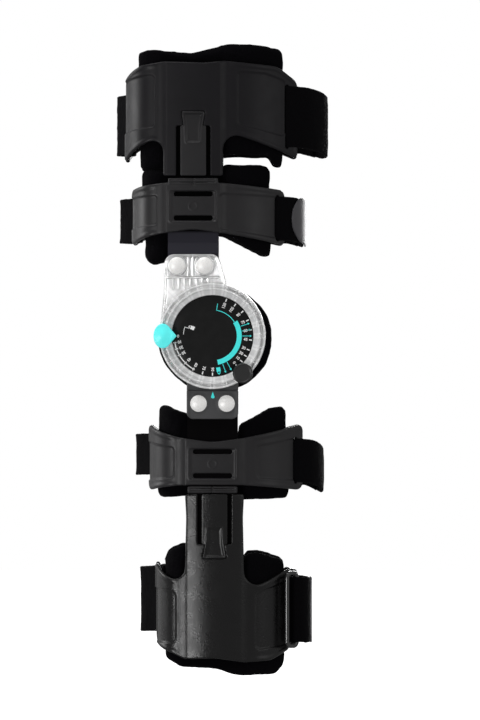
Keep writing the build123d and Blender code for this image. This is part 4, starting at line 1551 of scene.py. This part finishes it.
def dress_frame_nodes():
    """Materials and eased edges for the CAD pieces that stay in view."""
    looks = {
        "upper_bar": BAR_COAT_PAINTED_SHADE, "lower_bar": CALF_BAR_PAINTED_SHADE, "hinge_backplate": CLEAR_BACK,
        "dial_plate": DIAL_BLACK, "pivot_rivet": STEEL, "upper_rivets": STEEL,
        "lower_rivets": STEEL, "calf_strap_ring": RING_BLACK,
    }
    for side in SIDES:
        for node, material in looks.items():
            piece = frame["nodes"][f"{side}_{node}"]
            piece.data.materials.clear()
            piece.data.materials.append(material)
            if node.endswith("bar"):
                ease = piece.modifiers.new("ease", "BEVEL")
                ease.width = 0.5 * MM
                ease.segments = 2
                ease.limit_method = "ANGLE"


# ------------------------------------------------------------------ stage

WHITE = (1, 1, 1, 1)
LIGHTS = (                    # name, place, watts, size
    ("key", (-0.85, -1.27, -0.4), 17, 0.6),
    ("fill", (1.3, -0.9, 0.4), 2.5, 0.9),
    ("rim", (-1.45, 0.6, 0.4), 9, 0.9),
    ("top", (-0.6, -0.5, 1.5), 12, 0.9),
    ("back", (0.3, 1.5, 0.3), 20, 0.8),
)
WORLD_STRENGTH = 0.42
CAMERA_DISTANCE = 8.0
CAMERA_X, CAMERA_Z = 0.0206, -0.018
FRAME_TALL = 0.54             # height of the picture at the shells' skin
SENSOR = 36.0                 # mm


def build_floor():
    """White floor, clear of the calf shells when they slide right out."""
    travel = next(joint["range_m"][1] for joint in frame["joints"] if joint["name"] == "calf_length")
    floor_z = CAD_BOX[0][2] - travel - 0.003
    bpy.ops.mesh.primitive_plane_add(size=14, location=(0, 0, floor_z))
    floor = bpy.context.object
    floor.name = "floor"
    paint = Finish("floor", Roughness=0.9, Base_Color=(0.9, 0.9, 0.9, 1))
    paint.set(Emission_Color=WHITE, Emission_Strength=1.0)
    floor.data.materials.append(paint.material)
    floor.visible_diffuse = floor.visible_glossy = False


def build_world():
    """Even soft light, with a white backdrop for the camera and behind clear plastic."""
    world = bpy.data.worlds.new("studio")
    bpy.context.scene.world = world
    world.use_nodes = True
    nodes, link = world.node_tree.nodes, world.node_tree.links.new
    background = nodes["Background"]
    background.inputs["Color"].default_value = WHITE
    background.inputs["Strength"].default_value = WORLD_STRENGTH
    backdrop = nodes.new("ShaderNodeBackground")
    backdrop.inputs["Color"].default_value = WHITE
    path = nodes.new("ShaderNodeLightPath")
    seen = nodes.new("ShaderNodeMath")
    seen.operation = "MAXIMUM"
    link(path.outputs["Is Camera Ray"], seen.inputs[0])
    link(path.outputs["Is Transmission Ray"], seen.inputs[1])
    mix = nodes.new("ShaderNodeMixShader")
    link(seen.outputs["Value"], mix.inputs["Fac"])
    link(background.outputs["Background"], mix.inputs[1])
    link(backdrop.outputs["Background"], mix.inputs[2])
    link(mix.outputs["Shader"], nodes["World Output"].inputs["Surface"])


def build_lights():
    """Soft area lights that all face the knee."""
    for name, place, power, size in LIGHTS:
        light = bpy.data.lights.new(name, "AREA")
        light.energy = power
        light.size = size
        lamp = add_object(name, light)
        lamp.location = place
        lamp.rotation_euler = (-Vector(place)).to_track_quat("-Z", "Y").to_euler()


def build_camera():
    """Camera square on to the lateral side, far away."""
    camera = bpy.data.cameras.new("camera")
    camera.sensor_fit = "VERTICAL"
    camera.sensor_height = SENSOR
    camera.lens = SENSOR * CAMERA_DISTANCE / FRAME_TALL
    camera.clip_end = 100
    eye = add_object("camera", camera)
    eye.location = (CAMERA_X, -CAMERA_DISTANCE - SKIN_D * MM, CAMERA_Z)
    eye.rotation_euler = (math.pi / 2, 0, 0)
    bpy.context.scene.camera = eye
    bpy.context.scene.view_settings.view_transform = "Standard"


build_floor()
build_world()
build_lights()
build_camera()
dress_frame_nodes()
build_cuffs()
build_pads()
build_straps()
build_cover()
build_arm()
build_stop("flexion_stop", -51, False, STOP_BLACK)
build_stop("extension_stop", 180, True, STOP_TEAL)
place_print(white_print_and_glare, "dial_white_print", "thigh_frame")
place_print(teal_print, "dial_teal_print", "thigh_frame")
place_numbers()
place_print(arm_pointer, "arm_pointer", "calf_frame")
